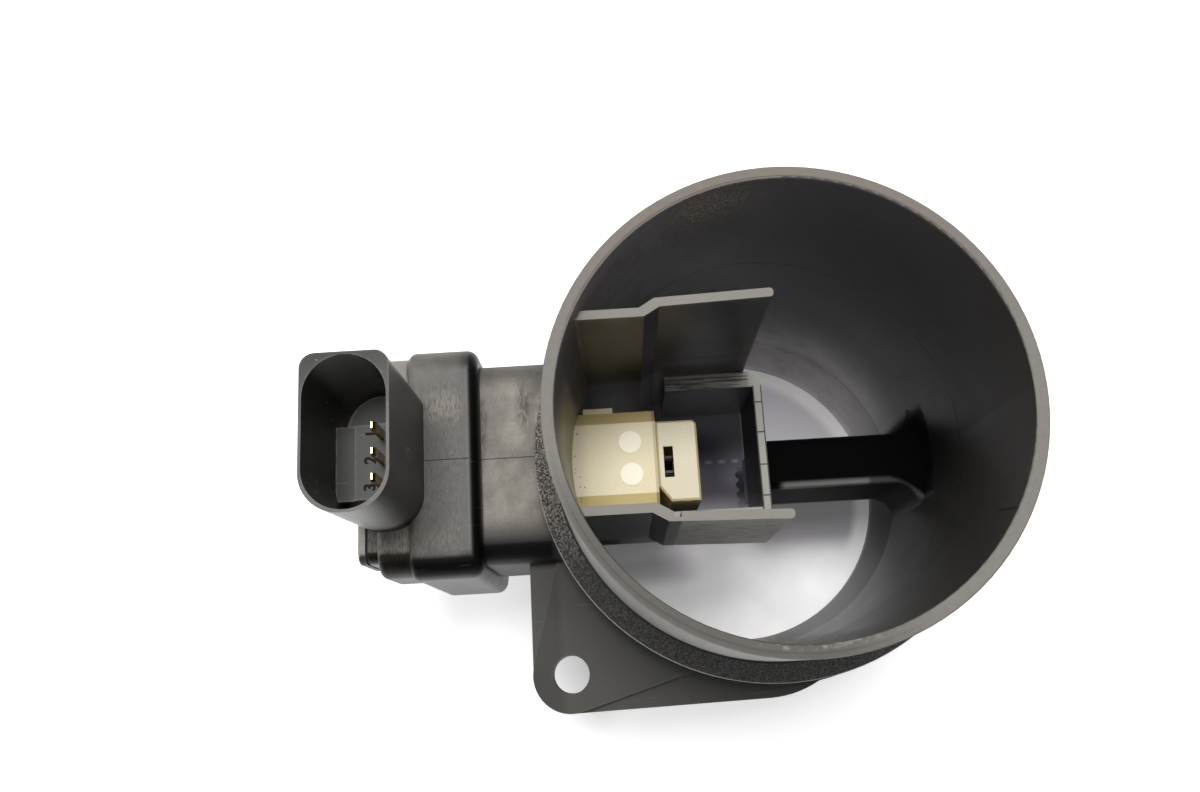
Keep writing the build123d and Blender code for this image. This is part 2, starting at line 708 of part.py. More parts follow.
def pin_bar(y):
    """Straight part of a terminal blade, from the board to its tapered tip."""
    return box_between(
        (PIN_X - PIN_T / 2, y - PIN_W / 2, BOARD_TOP_Z - PIN_TAIL),
        (PIN_X + PIN_T / 2, y + PIN_W / 2, PIN_TOP_Z - PIN_TIP),
    )


def make_terminal(y):
    root = Pos(PIN_X, y, PIN_TOP_Z - PIN_TIP) * Rectangle(PIN_T, PIN_W)
    end = Pos(PIN_X, y, PIN_TOP_Z) * Rectangle(PIN_T - 2 * PIN_TAPER, PIN_W - 2 * PIN_TAPER)
    return pin_bar(y) + loft([root, end])


def make_heat_spreader():
    plate = cavity_block(SPREADER_BACK, PARTITION_BACK, BOARD_GAP)
    return plate - lead_window(SPREADER_BACK, PARTITION_BACK)


def make_circuit_board():
    board = cavity_block(BOARD_BACK, SPREADER_BACK, BOARD_GAP)
    return board - lead_window(BOARD_BACK, SPREADER_BACK)


def on_board(y, z, height, length, width):
    """Box lying on the board, its centre given from the leads' Y and the board's middle."""
    low = (BOARD_BACK - height, SLOT_CENTRE_Y + y - length / 2, BOARD_MID_Z + z - width / 2)
    high = (BOARD_BACK, SLOT_CENTRE_Y + y + length / 2, BOARD_MID_Z + z + width / 2)
    return box_between(low, high)


def make_control_chip():
    """Square chip with gull legs along two sides."""
    y = -WINDOW / 2 - CHIP + 0.5
    legs = Part()
    pitch = CHIP / CHIP_LEGS
    for index in range(CHIP_LEGS):
        along = (index - (CHIP_LEGS - 1) / 2) * pitch
        legs += on_board(y + along, 0, CHIP_H / 3, pitch / 2, CHIP + 2 * CHIP_LEG)
    return on_board(y, 0, CHIP_H, CHIP, CHIP) + legs


def make_power_transistor():
    return on_board(WINDOW / 2 + TRANSISTOR_L, 0, TRANSISTOR_H, TRANSISTOR_L, TRANSISTOR_W)


def board_row(size, y):
    """Row of small parts from one end of the board's height to the other."""
    height, length, width = size
    first = -(ROW_COUNT - 1) / 2 * ROW_PITCH
    parts = [on_board(y, first + index * ROW_PITCH, height, length, width) for index in range(ROW_COUNT)]
    return Compound(children=parts)


def make_board_capacitors():
    return board_row(CAPACITOR, WINDOW / 2 + 2 * TRANSISTOR_L - 1.5)


def make_board_resistors():
    return board_row(RESISTOR, WINDOW / 2 + 2 * TRANSISTOR_L + 1.2)


def make_bond_ribbons():
    """Ribbons from the ends of the leads to the board beside the window."""
    ribbons = []
    reach = WINDOW / 2 + 1.0
    for y, z in lead_places():
        side = 1 if y > SLOT_CENTRE_Y else -1
        far = SLOT_CENTRE_Y + side * reach
        near = y - side * LEAD_T / 2
        top = box_between(
            (LEAD_END_X - RIBBON_T, min(near, far), z - LEAD_W / 2),
            (LEAD_END_X, max(near, far), z + LEAD_W / 2),
        )
        foot_near = far - side * LEAD_T
        foot = box_between(
            (LEAD_END_X, min(foot_near, far), z - LEAD_W / 2),
            (BOARD_BACK, max(foot_near, far), z + LEAD_W / 2),
        )
        ribbons.append(top + foot)
    return Compound(children=ribbons)


# ------------------------------------------------------------------ the whole part
def make_parts():
    parts = {
        "duct_housing": make_duct_housing(),
        "spigot_seal": make_spigot_seal(),
        "electronics_case": make_electronics_case(),
        "case_cover": make_case_cover(),
        "cover_gasket": make_cover_gasket(),
        "heat_spreader": make_heat_spreader(),
        "circuit_board": make_circuit_board(),
        "control_chip": make_control_chip(),
        "power_transistor": make_power_transistor(),
        "board_capacitors": make_board_capacitors(),
        "board_resistors": make_board_resistors(),
        "bond_ribbons": make_bond_ribbons(),
        "probe_body": make_probe_body(),
        "probe_seal": make_probe_seal(),
        "bypass_cover": make_bypass_cover(),
        "element_leads": make_element_leads(),
        "heater_plate": make_heater_plate(),
        "temperature_plate": make_temperature_plate(),
    }
    for number, y in enumerate(pin_rows(), start=1):
        parts[f"terminal_{number}"] = make_terminal(y)
    return parts


os.makedirs("parts", exist_ok=True)
for node, shape in make_parts().items():
    export_step(shape, f"parts/{node}.step")
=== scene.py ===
import math
from functools import cached_property

import bpy
from mathutils import Matrix, Vector


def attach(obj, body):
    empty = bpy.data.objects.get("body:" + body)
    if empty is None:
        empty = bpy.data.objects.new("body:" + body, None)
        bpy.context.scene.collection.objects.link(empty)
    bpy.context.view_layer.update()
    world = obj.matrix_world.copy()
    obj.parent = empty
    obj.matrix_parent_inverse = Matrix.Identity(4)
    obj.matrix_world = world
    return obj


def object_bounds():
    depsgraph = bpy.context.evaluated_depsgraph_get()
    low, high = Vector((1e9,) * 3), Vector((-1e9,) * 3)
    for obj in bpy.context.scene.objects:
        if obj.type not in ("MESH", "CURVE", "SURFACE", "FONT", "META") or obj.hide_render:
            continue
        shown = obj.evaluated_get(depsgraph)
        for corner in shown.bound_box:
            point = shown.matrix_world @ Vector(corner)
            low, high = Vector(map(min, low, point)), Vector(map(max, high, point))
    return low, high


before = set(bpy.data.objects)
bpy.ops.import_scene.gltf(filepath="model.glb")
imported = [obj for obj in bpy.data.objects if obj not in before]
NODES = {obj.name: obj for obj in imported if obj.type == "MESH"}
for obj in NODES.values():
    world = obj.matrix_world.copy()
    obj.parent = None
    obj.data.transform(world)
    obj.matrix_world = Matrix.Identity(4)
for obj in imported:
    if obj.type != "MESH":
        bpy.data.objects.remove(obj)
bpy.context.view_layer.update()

# the whole view, 1200 by 792
CAMERA_PLACE = Vector((-0.02856, -0.03979, 0.26992))
CAMERA_AIM = Vector((-0.03088, 0.01371, 0.060))
CAMERA_ROLL = 3.2
CAMERA_LENS = 32.25
FLOOR_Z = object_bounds()[0][2]
FLOOR_GAP = 0.0002

# sizes of the duct and the connector, in millimetres, as in the part's own frame
RIM_Z = 105.0
HOSE_R = 40.0
BORE_R = 37.8
CORE_JOINT_Z = 68.0
PLATFORM_Z = 78.0
AXIS_Y = 0.9
DISC_X = -25.4
DISC_STEP = 3.25
PIN_NUMBERS = (("1", -72.9, 4.5), ("2", -73.1, -0.4), ("3", -73.2, -5.4))

# the bent wall in the probe, in metres
BAFFLE_PLACE = (-0.01795, 0.0009, 0.0415)
BAFFLE_SIZE = (0.0031, 0.0086, 0.0008)
BAFFLE_BEND = 0.0022
BAFFLE_BEND_REACH = 0.0042

# boxes round places on the pieces, in millimetres: low, high and softness of the edge
SLEEVE_HOLLOW = dict(x=(-17.6, 0.6, 0.1), y=(-9.9, 15.2, 0.1), z=(30, 54.6, 0.3))
SLEEVE_FAR_BAR = dict(x=(0.4, 2.4, 0.05), y=(-11.2, 15.3, 0.1), z=(54.0, 55.6, 0.2))
SLEEVE_LEDGE = dict(x=(-17.6, -0.3, 0.2), z=(53.0, 55.8, 0.3))
FAR_BAR_LINES_Y = (11.8, 5.5, -1.2, -7.5)
STRUT = dict(y=(-8.5, 10.0, 1.5), z=(17, 50, 1.5))
STRUT_HEM = dict(x=(3, 31, 1), z=(17.0, 19.0, 0.6))
UPPER_WALL_FACE = dict(x=(-34, -0.4, 1), y=(9, 20, 1), z=(60, 100.4, 2))
LOWER_WALL_FACE = dict(x=(-18.6, 0.5, 0.3), y=(-21, -14.5, 0.5))
LOWER_WALL_GAP = dict(x=(-16.4, 0.7, 0.1), y=(-16.35, -15.5, 0.10))
LOWER_WALL_NOTCH = dict(x=(-18.4, -16.4, 0.25), y=(-15.6, -14.3, 0.25))
PROBE_ENTRY = dict(y=(-9.6, 9.6, 1.2), z=(50, 90, 6))
BEAD = dict(z=(65, 71.4, 0.2))
BEAD_PARTING_HIGHLIGHT = dict(z=(67.2, 68.6, 0.1))
NECK_SEAM = dict(y=(1.62, 1.78, 0.05))
BAND_SEAM = dict(x=(-66, -56.5), y=(1.25, 1.42, 0.05))
BAND_TOP = dict(z=(55, 68, 2))
SOCKET_FLOOR = dict(z=(74, 79))

# tones, as linear colours
BLACK = (0.022, 0.0215, 0.0205)
SHADE_BLACK = (0.004, 0.004, 0.0045)
SOOT_AND_SHADE = (0.004, 0.004, 0.004)
SEAM_AND_SHADE_TONE = (0.008, 0.008, 0.008)
SMEAR_TONE = (0.035, 0.033, 0.030)
DUST_TONE = (0.30, 0.275, 0.235)
WEAR_AND_HIGHLIGHT_TONE = (0.15, 0.145, 0.135)
NYLON_SHINE = 0.34


# ---------------------------------------------------------------- camera, floor and light
def place_camera():
    camera = bpy.data.objects.new("camera", bpy.data.cameras.new("camera"))
    bpy.context.scene.collection.objects.link(camera)
    camera.data.sensor_width = 36
    camera.data.lens = CAMERA_LENS
    camera.data.clip_start = 0.01
    forward = (CAMERA_AIM - CAMERA_PLACE).normalized()
    up = (Vector((0, 1, 0)) - forward * forward.y).normalized()
    up.rotate(Matrix.Rotation(math.radians(CAMERA_ROLL), 3, forward))
    right = forward.cross(up)
    turn = Matrix((right, up, -forward)).transposed().to_4x4()
    camera.matrix_world = Matrix.Translation(CAMERA_PLACE) @ turn
    bpy.context.scene.camera = camera


def soft_lamp(name, place, size, watts, aim=Vector((0, 0, 0.05))):
    lamp = bpy.data.objects.new(name, bpy.data.lights.new(name, "AREA"))
    bpy.context.scene.collection.objects.link(lamp)
    lamp.data.shape = "RECTANGLE"
    lamp.data.size, lamp.data.size_y = size
    lamp.data.energy = watts
    lamp.location = place
    lamp.rotation_euler = (aim - Vector(place)).to_track_quat("-Z", "Y").to_euler()


def seen_in_gloss(recipe):
    """1 for what is seen in a gloss or through glass."""
    path = recipe.put("LightPath")
    return recipe.either(path.outputs["Is Glossy Ray"], path.outputs["Is Transmission Ray"])


def seen_directly(recipe):
    """1 for what is seen straight, in a gloss or through glass, 0 for the light that falls on things."""
    return recipe.either(recipe.put("LightPath").outputs["Is Camera Ray"], seen_in_gloss(recipe))


def light_the_table():
    world = bpy.data.worlds.new("studio")
    bpy.context.scene.world = world
    world.use_nodes = True
    world.node_tree.nodes.clear()
    recipe = Recipe(world.node_tree)
    # the side that the camera stands on is darker than the window side
    away = recipe.parts_of(recipe.put("TexCoord").outputs["Generated"])
    lit_side = recipe.ramp(recipe.total(away["Y"], recipe.both(away["Z"], 0.55)), -0.75, 0.35)
    room, gloss, white = (recipe.put("Background") for _ in range(3))
    recipe.feed(room.inputs["Color"], (0.96, 0.98, 1.0))
    recipe.feed(room.inputs["Strength"], recipe.between(lit_side, 0.36, 0.42))
    recipe.feed(gloss.inputs["Strength"], recipe.between(lit_side, 0.10, 1.0))
    recipe.feed(white.inputs["Color"], (1.0, 1.0, 1.0))
    lit = recipe.put("MixShader")
    recipe.feed(lit.inputs["Fac"], seen_in_gloss(recipe))
    recipe.feed(lit.inputs[1], room.outputs[0])
    recipe.feed(lit.inputs[2], gloss.outputs[0])
    mix = recipe.put("MixShader")
    recipe.feed(mix.inputs["Fac"], recipe.put("LightPath").outputs["Is Camera Ray"])
    recipe.feed(mix.inputs[1], lit.outputs[0])
    recipe.feed(mix.inputs[2], white.outputs[0])
    recipe.feed(recipe.put("OutputWorld").inputs["Surface"], mix.outputs[0])
    soft_lamp("ceiling_panel", (-0.04, 0.24, 1.17), (0.5, 0.42), 12)
    soft_lamp("window", (-0.9, 0.5, 0.8), (0.8, 0.8), 3.5)


def floor_under_sleeve(recipe, on):
    """Painted deep shade on the table below the sleeve, with a painted scalloped shadow edge and three
    painted glints.
    """
    deep = recipe.blend(on.past(y=(6, 17)), (0.17, 0.16, 0.195), (0.02, 0.02, 0.026))
    scallops = recipe.calc("ABSOLUTE", recipe.calc("SINE", recipe.both(on.y, 1.25)))
    scalloped_shadow_edge = recipe.total(on.x, recipe.both(scallops, 0.9))
    # painted black shadow with a scalloped edge on the shaded table
    flash = recipe.both(recipe.ramp(scalloped_shadow_edge, 2.3, 2.6), on.past(y=(9, 6)))
    deep = recipe.layer(deep, (0.008, 0.008, 0.010), flash)
    # three painted glints on the shaded table
    for x_glint in (-4.9, -1.6, 1.8):
        glint = on.within(x=(x_glint - 0.8, x_glint + 0.8, 0.5), y=(9.6, 10.3, 0.4))
        deep = recipe.layer(deep, (0.5, 0.5, 0.54), glint, 0.6)
    return deep


def lay_the_floor():
    bpy.ops.mesh.primitive_plane_add(size=6, location=(0, 0, FLOOR_Z - FLOOR_GAP))
    floor = bpy.context.object
    floor.name = "floor"
    material, recipe, shader = new_finish("white_table", roughness=0.7)
    on = Faces(recipe)
    clear_of_duct = on.past(radius=(36, HOSE_R))
    under_sleeve = recipe.both(on.within(x=(-24, 5.0, 1.2)), on.past(y=(-9, 3)), on.past(y=(27.5, 26.5)))
    # painted shadows on the table seen through the bore, darkest below the strut
    middle = on.past(radius=(32.5, 29.5), y=(-16, -9))
    left_side = on.past(radius=(36, 34), x=(-6, -16), y=(-22, -17))
    shaded = recipe.either(middle, left_side)
    below_strut = recipe.both(on.within(y=(-13, 2, 3)), on.past(x=(3, 8)))
    shade_tone = recipe.blend(below_strut, (0.62, 0.59, 0.64), (0.30, 0.28, 0.345))
    # painted blotchy shade on the table inside the duct's outline
    blotchy_shade = recipe.mottle(on.place, (0.09, 2, 0.5), 0.35, 0.65)
    white = recipe.layer((0.86, 0.85, 0.845), (0.79, 0.775, 0.78), blotchy_shade, recipe.without(clear_of_duct))
    tone = recipe.layer(white, shade_tone, shaded)
    tone = recipe.layer(tone, floor_under_sleeve(recipe, on), under_sleeve)
    recipe.feed(shader.inputs["Base Color"], tone)
    # the table glows a little, so that it stays white round the part and paler inside the bore; the glow
    # is lower in the shaded zones, none under the sleeve and dips round the ear's hole, which paints shade
    # there
    under_ear = on.near((-40.0, -40.0, 0), (1, 1, 0), 17.0, 4.0)
    outside = recipe.both(clear_of_duct, recipe.line(under_ear, -0.85, 1.0))
    in_bore = recipe.both(recipe.without(recipe.either(under_sleeve, recipe.both(shaded, 0.4))), 0.16)
    glow = recipe.between(outside, in_bore, 0.5)
    recipe.feed(shader.inputs["Emission Strength"], recipe.both(glow, seen_directly(recipe)))
    recipe.feed(shader.inputs["Emission Color"], (1.0, 0.99, 0.985))
    floor.data.materials.append(material)


# ---------------------------------------------------------------- writing materials
class Recipe:
    """Adds nodes to one tree and joins them. A value is a number, a colour or another node's socket."""

    def __init__(self, tree):
        self.tree = tree

    def put(self, kind, **choices):
        node = self.tree.nodes.new("ShaderNode" + kind)
        for choice, value in choices.items():
            setattr(node, choice, value)
        return node

    def feed(self, socket, value):
        if isinstance(value, bpy.types.NodeSocket):
            self.tree.links.new(value, socket)
        elif socket.type == "RGBA":
            socket.default_value = (*value, 1)
        else:
            socket.default_value = value

    def calc(self, operation, first, second=0.0):
        node = self.put("Math", operation=operation)
        self.feed(node.inputs[0], first)
        self.feed(node.inputs[1], second)
        return node.outputs[0]

    def join(self, operation, first, *others):
        for other in others:
            first = self.calc(operation, first, other)
        return first

    def both(self, *values):
        """All of the values multiplied: 1 where each of the masks is."""
        return self.join("MULTIPLY", *values)

    def either(self, *values):
        """The largest of the values: 1 where any of the masks is."""
        return self.join("MAXIMUM", *values)

    def total(self, *values):
        return self.join("ADD", *values)

    def without(self, value):
        return self.calc("SUBTRACT", 1.0, value)

    def line(self, value, factor, plus):
        """value times factor, plus a start."""
        return self.total(self.both(value, factor), plus)

    def in_millimetres(self, stretch=(1, 1, 1), turn=(0, 0, 0)):
        """Object coordinates in millimetres, turned and then stretched."""
        source = self.put("TexCoord").outputs["Object"]
        mapping = self.put("Mapping", vector_type="POINT")
        self.feed(mapping.inputs["Vector"], source)
        mapping.inputs["Rotation"].default_value = turn
        mapping.inputs["Scale"].default_value = [1000 * s for s in stretch]
        return mapping.outputs[0]

    def parts_of(self, vector):
        split = self.put("SeparateXYZ")
        self.feed(split.inputs[0], vector)
        return split.outputs

    def vector(self, operation, first, second):
        node = self.put("VectorMath", operation=operation)
        self.feed(node.inputs[0], first)
        self.feed(node.inputs[1], second)
        return node.outputs

    def length_of(self, vector, stretch=(1, 1, 1), centre=(0, 0, 0)):
        away = self.vector("SUBTRACT", vector, centre)[0]
        length = self.put("VectorMath", operation="LENGTH")
        self.feed(length.inputs[0], self.vector("MULTIPLY", away, stretch)[0])
        return length.outputs["Value"]

    def normal_parts(self):
        return self.parts_of(self.put("TexCoord").outputs["Normal"])

    def ramp(self, value, low, high):
        """0 below low and 1 above high, softly; the other way round where low is the higher."""
        node = self.put("MapRange", interpolation_type="SMOOTHSTEP")
        self.feed(node.inputs["Value"], value)
        self.feed(node.inputs["From Min"], low)
        self.feed(node.inputs["From Max"], high)
        return node.outputs["Result"]

    def span(self, value, low, high, soft=0.3):
        """1 between low and high."""
        above_low = self.ramp(value, low - soft, low + soft)
        return self.both(above_low, self.ramp(value, high + soft, high - soft))

    def noise(self, vector, scale, detail=3.0, roughness=0.55):
        node = self.put("TexNoise")
        self.feed(node.inputs["Vector"], vector)
        self.feed(node.inputs["Scale"], scale)
        self.feed(node.inputs["Detail"], detail)
        self.feed(node.inputs["Roughness"], roughness)
        return node.outputs["Fac"]

    def mottle(self, vector, grain, low, high):
        """Irregular patches: 1 where a noise of the given scale, detail and roughness is above high."""
        return self.ramp(self.noise(vector, *grain), low, high)

    def blend(self, share, first, second):
        node = self.put("Mix", data_type="RGBA")
        self.feed(node.inputs[0], share)
        self.feed(node.inputs[6], first)
        self.feed(node.inputs[7], second)
        return node.outputs[2]

    def layer(self, colour, tone, *masks):
        """The tone laid over the colour where all the masks are."""
        return self.blend(self.both(*masks), colour, tone)

    def between(self, share, first, second):
        node = self.put("Mix", data_type="FLOAT")
        self.feed(node.inputs[0], share)
        self.feed(node.inputs[2], first)
        self.feed(node.inputs[3], second)
        return node.outputs[0]

    def use(self, group, **values):
        node = self.put("Group", node_tree=group)
        for name, value in values.items():
            self.feed(node.inputs[name], value)
        return node.outputs

    def mask(self, group, **values):
        return self.use(group, **values)["Mask"]


class Faces:
    """Where a face lies, in millimetres, and which way it looks."""

    def __init__(self, recipe):
        self.recipe = recipe
        self.place = recipe.in_millimetres()
        parts = recipe.parts_of(self.place)
        self.x, self.y, self.z = parts["X"], parts["Y"], parts["Z"]

    @cached_property
    def radius(self):
        """Distance from the duct's axis."""
        return self.recipe.length_of(self.place, (1, 1, 0))

    @cached_property
    def facing(self):
        return self.recipe.normal_parts()

    @cached_property
    def up(self):
        return self.recipe.ramp(self.facing["Z"], 0.3, 0.95)

    def within(self, **limits):
        """1 between the low and the high place along each axis given, with the softness of its edge."""
        spans = (self.recipe.span(getattr(self, axis), *limit) for axis, limit in limits.items())
        return self.recipe.both(*spans)

    def past(self, **limits):
        """1 past the second place, seen from the first, along each axis given."""
        ramps = (self.recipe.ramp(getattr(self, axis), *limit) for axis, limit in limits.items())
        return self.recipe.both(*ramps)

    def near(self, centre, stretch, low, high):
        """Turns from 0 to 1 as the stretched distance from the centre goes from low to high."""
        return self.recipe.ramp(self.recipe.length_of(self.place, stretch, centre), low, high)

    def looking(self, axis, low, high):
        return self.recipe.ramp(self.facing[axis], low, high)


class DuctFaces(Faces):
    """Places on the duct that more than one layer of its finish needs."""

    @cached_property
    def inside(self):
        """Inside the bore, and neither on an upper face nor on the outside of the rear half."""
        recipe = self.recipe
        facing = self.facing
        outward = recipe.total(recipe.both(facing["X"], self.x), recipe.both(facing["Y"], self.y))
        rear_outside = recipe.both(self.past(radius=(31, 32), z=(60, 58)), recipe.ramp(outward, 4, 20))
        in_bore = self.past(radius=(BORE_R + 0.6, BORE_R + 0.3))
        return recipe.both(in_bore, recipe.without(self.up), recipe.without(rear_outside))

    @cached_property
    def neck(self):
        return self.past(x=(-40.0, -42.0), z=(55.0, 58.0))

    @cached_property
    def rim(self):
        return self.recipe.both(self.past(z=(RIM_Z - 0.5, RIM_Z - 0.1)), self.up)

    @cached_property
    def wall_tops(self):
        return self.recipe.both(self.past(z=(99.0, 100.5), radius=(BORE_R, BORE_R - 0.5)), self.up)

    @cached_property
    def hollow(self):
        return self.within(**SLEEVE_HOLLOW)


def new_group(name, wants, gives):
    """A node group with the named inputs, each with its starting value, and the named outputs."""
    group = bpy.data.node_groups.new(name, "ShaderNodeTree")
    for label, start in wants.items():
        kind = "NodeSocketColor" if isinstance(start, tuple) else "NodeSocketFloat"
        socket = group.interface.new_socket(name=label, in_out="INPUT", socket_type=kind)
        socket.default_value = (*start, 1) if isinstance(start, tuple) else start
    for label, kind in gives.items():
        group.interface.new_socket(name=label, in_out="OUTPUT", socket_type="NodeSocket" + kind)
    entry = group.nodes.new("NodeGroupInput")
    exit_node = group.nodes.new("NodeGroupOutput")
    return group, Recipe(group), entry.outputs, exit_node.inputs


def make_moulded_grain():
    """Moulded plastic: a colour that drifts, uneven gloss and a fine grain."""
    group, recipe, want, give = new_group(
        "moulded_grain",
        {"Colour": (0.03, 0.03, 0.03), "Drift": 0.25, "Gloss": 0.45, "Grain": 5.0},
        {"Colour": "Color", "Roughness": "Float", "Height": "Float"},
    )
    place = recipe.in_millimetres()
    broad = recipe.noise(place, 0.07, 3)
    fine = recipe.noise(place, want["Grain"], 3, 0.6)
    swing = recipe.both(recipe.calc("SUBTRACT", broad, 0.5), want["Drift"])
    tint = recipe.put("VectorMath", operation="SCALE")
    recipe.feed(tint.inputs[0], want["Colour"])
    strength = recipe.both(recipe.line(swing, 2.0, 1.0), recipe.line(fine, 0.24, 0.88))
    recipe.feed(tint.inputs["Scale"], strength)
    recipe.feed(give["Colour"], tint.outputs[0])
    uneven = recipe.total(recipe.both(broad, 0.14), recipe.both(fine, 0.12), -0.13)
    recipe.feed(give["Roughness"], recipe.total(want["Gloss"], uneven))
    recipe.feed(give["Height"], fine)
    return group


def make_settled_dust():
    """Dust that lies on faces that look up, and, as dust and painted light, on faces tilted towards the
    window at +Y and -X; in soft patches with a dry grain.
    """
    group, recipe, want, give = new_group(
        "settled_dust", {"Amount": 0.6, "Patches": 0.12, "Bare": 0.35}, {"Mask": "Float"}
    )
    place = recipe.in_millimetres()
    facing = recipe.normal_parts()
    # faces tilted towards the window side get the dust too, which paints them lighter where the lamp falls
    window_side = recipe.both(recipe.either(facing["Y"], 0.0), 0.5)
    far_side = recipe.both(recipe.either(recipe.both(facing["X"], -1.0), 0.0), 0.4)
    up = recipe.ramp(recipe.total(facing["Z"], window_side, far_side), 0.88, 0.995)
    patch = recipe.ramp(recipe.noise(place, want["Patches"], 4, 0.6), want["Bare"], 0.75)
    grain = recipe.line(recipe.noise(place, 2.6, 4, 0.7), 0.76, 0.62)
    recipe.feed(give["Mask"], recipe.both(want["Amount"], up, recipe.line(patch, 0.5, 0.55), grain))
    return group


def make_stray_specks():
    """Small round specks, on a share of the cells of a scattered grid."""
    group, recipe, want, give = new_group(
        "stray_specks", {"Cell": 2.0, "Size": 0.15, "Share": 0.2}, {"Mask": "Float"}
    )
    cells = recipe.put("TexVoronoi")
    recipe.feed(cells.inputs["Vector"], recipe.in_millimetres())
    recipe.feed(cells.inputs["Scale"], recipe.calc("DIVIDE", 1.0, want["Cell"]))
    reach = recipe.calc("DIVIDE", want["Size"], want["Cell"])
    dot = recipe.calc("LESS_THAN", cells.outputs["Distance"], reach)
    lot = recipe.parts_of(cells.outputs["Color"])["X"]
    recipe.feed(give["Mask"], recipe.both(dot, recipe.calc("LESS_THAN", lot, want["Share"])))
    return group


def make_edge_mask():
    """Corners, found from the bevelled normal and broken up by noise; the dark plastics are painted paler
    there as wear and as a painted edge highlight, the ivory darker.
    """
    group, recipe, want, give = new_group("edge_mask", {"Reach": 0.0004, "Wear": 0.6}, {"Mask": "Float"})
    bevel = recipe.put("Bevel", samples=4)
    recipe.feed(bevel.inputs["Radius"], want["Reach"])
    true_normal = recipe.put("NewGeometry").outputs["Normal"]
    flat = recipe.vector("DOT_PRODUCT", bevel.outputs[0], true_normal)["Value"]
    broken = recipe.mottle(recipe.in_millimetres(), (0.9, 4, 0.65), 0.25, 0.7)
    recipe.feed(give["Mask"], recipe.both(recipe.ramp(flat, 0.985, 0.8), broken, want["Wear"]))
    return group


def make_fine_scratches():
    """Fine scratches, in three directions."""
    group, recipe, want, give = new_group("fine_scratches", {"Count": 0.5}, {"Mask": "Float"})
    lines = []
    for turn, shift in ((0.5, 0.0), (-0.9, 4.0), (1.35, 9.0)):
        place = recipe.in_millimetres((0.10, 3.2, 0.10), (0, 0, turn))
        place = recipe.vector("ADD", place, (shift, shift, shift))[0]
        lines.append(recipe.mottle(place, (1.0, 1.0, 0.4), 0.76, 0.80))
    recipe.feed(give["Mask"], recipe.both(recipe.either(*lines), want["Count"]))
    return group


def make_soft_smudges():
    """Broad soft smudges and wipe marks."""
    group, recipe, want, give = new_group(
        "soft_smudges", {"Scale": 0.2, "Low": 0.45, "High": 0.7}, {"Mask": "Float"}
    )
    smear = recipe.noise(recipe.in_millimetres((1, 0.45, 1)), want["Scale"], 5, 0.6)
    recipe.feed(give["Mask"], recipe.ramp(smear, want["Low"], want["High"]))
    return group


GRAIN = make_moulded_grain()
DUST = make_settled_dust()
SPECKS = make_stray_specks()
EDGES = make_edge_mask()
SCRATCHES = make_fine_scratches()
SMUDGES = make_soft_smudges()


def new_finish(name, roughness=0.5, metallic=0.0, shine=0.5):
    """A material, the recipe for its tree and its Principled shader."""
    material = bpy.data.materials.new(name)
    material.use_nodes = True
    shader = material.node_tree.nodes["Principled BSDF"]
    shader.inputs["Roughness"].default_value = roughness
    shader.inputs["Metallic"].default_value = metallic
    shader.inputs["Specular IOR Level"].default_value = shine
    return material, Recipe(material.node_tree), shader


def give_relief(recipe, shader, height, depth_mm, strength=0.5):
    bump = recipe.put("Bump")
    bump.inputs["Strength"].default_value = strength
    bump.inputs["Distance"].default_value = depth_mm / 1000
    recipe.feed(bump.inputs["Height"], height)
    recipe.feed(shader.inputs["Normal"], bump.outputs[0])


def dress(node, material):
    """Every material slot of a CAD node gets the finish."""
    for slot in NODES[node].material_slots:
        slot.material = material


# ---------------------------------------------------------------- the duct's finish
def film_and_shade_inside(recipe, on, colour):
    """A grey film in the bore, lighter towards the -X +Y side as a painted shading gradient, painted black
    shade in the sleeve's hollow, and a darker flange.
    """
    # painted shading: the film is lighter towards -X +Y and darker towards +X -Y
    towards = recipe.ramp(recipe.calc("SUBTRACT", on.y, on.x), -38, 52)
    film = recipe.blend(towards, (0.036, 0.034, 0.031), (0.128, 0.118, 0.128))
    colour = recipe.layer(colour, film, on.inside, 0.9)
    # painted black shade in the sleeve's hollow
    colour = recipe.layer(colour, (0.006, 0.006, 0.007), on.hollow)
    flange = on.past(x=(-52, -46), z=(62, 60), radius=(HOSE_R, HOSE_R + 1))
    return recipe.layer(colour, (0.034, 0.0318, 0.0265), flange, 0.9)


def dust_on_neck(recipe, on, colour):
    """Dust lies thick on the neck, rubbed and gritty towards the duct, and thins towards the neck's -Y
    edge as painted shade. Gives the colour and the dust.
    """
    # less dust towards the -Y edge, a painted shade, and less towards the +Y edge
    fade = recipe.both(recipe.between(on.past(y=(14.5, 19)), 1.0, 0.42), on.past(y=(-16.0, -7.5)))
    dust = recipe.mask(DUST, Amount=recipe.both(on.neck, fade, 0.92), Patches=0.16, Bare=0.3)
    colour = recipe.layer(colour, DUST_TONE, dust)
    near_duct = recipe.ramp(recipe.total(on.x, recipe.both(on.y, 0.1)), -46.0, -41.0)
    rubbed = recipe.mask(SMUDGES, Scale=0.35, Low=0.35, High=0.6)
    colour = recipe.layer(colour, (0.04, 0.038, 0.035), on.neck, near_duct, rubbed, 0.7)
    smear = recipe.either(
        on.near((-46.2, 12.0, 0), (0.42, 0.13, 0), 1.0, 0.2),
        on.near((-54.4, 8.0, 0), (0.75, 0.10, 0), 1.0, 0.2),
    )
    ragged = recipe.mottle(recipe.in_millimetres((1.6, 0.5, 1)), (0.8, 5, 0.7), 0.35, 0.6)
    colour = recipe.layer(colour, SMEAR_TONE, on.neck, smear, ragged, 0.75)
    grit = recipe.mask(SPECKS, Cell=0.8, Size=0.13, Share=0.3)
    colour = recipe.layer(colour, (0.02, 0.019, 0.017), grit, on.neck, recipe.line(near_duct, 0.6, 0.3))
    return colour, dust


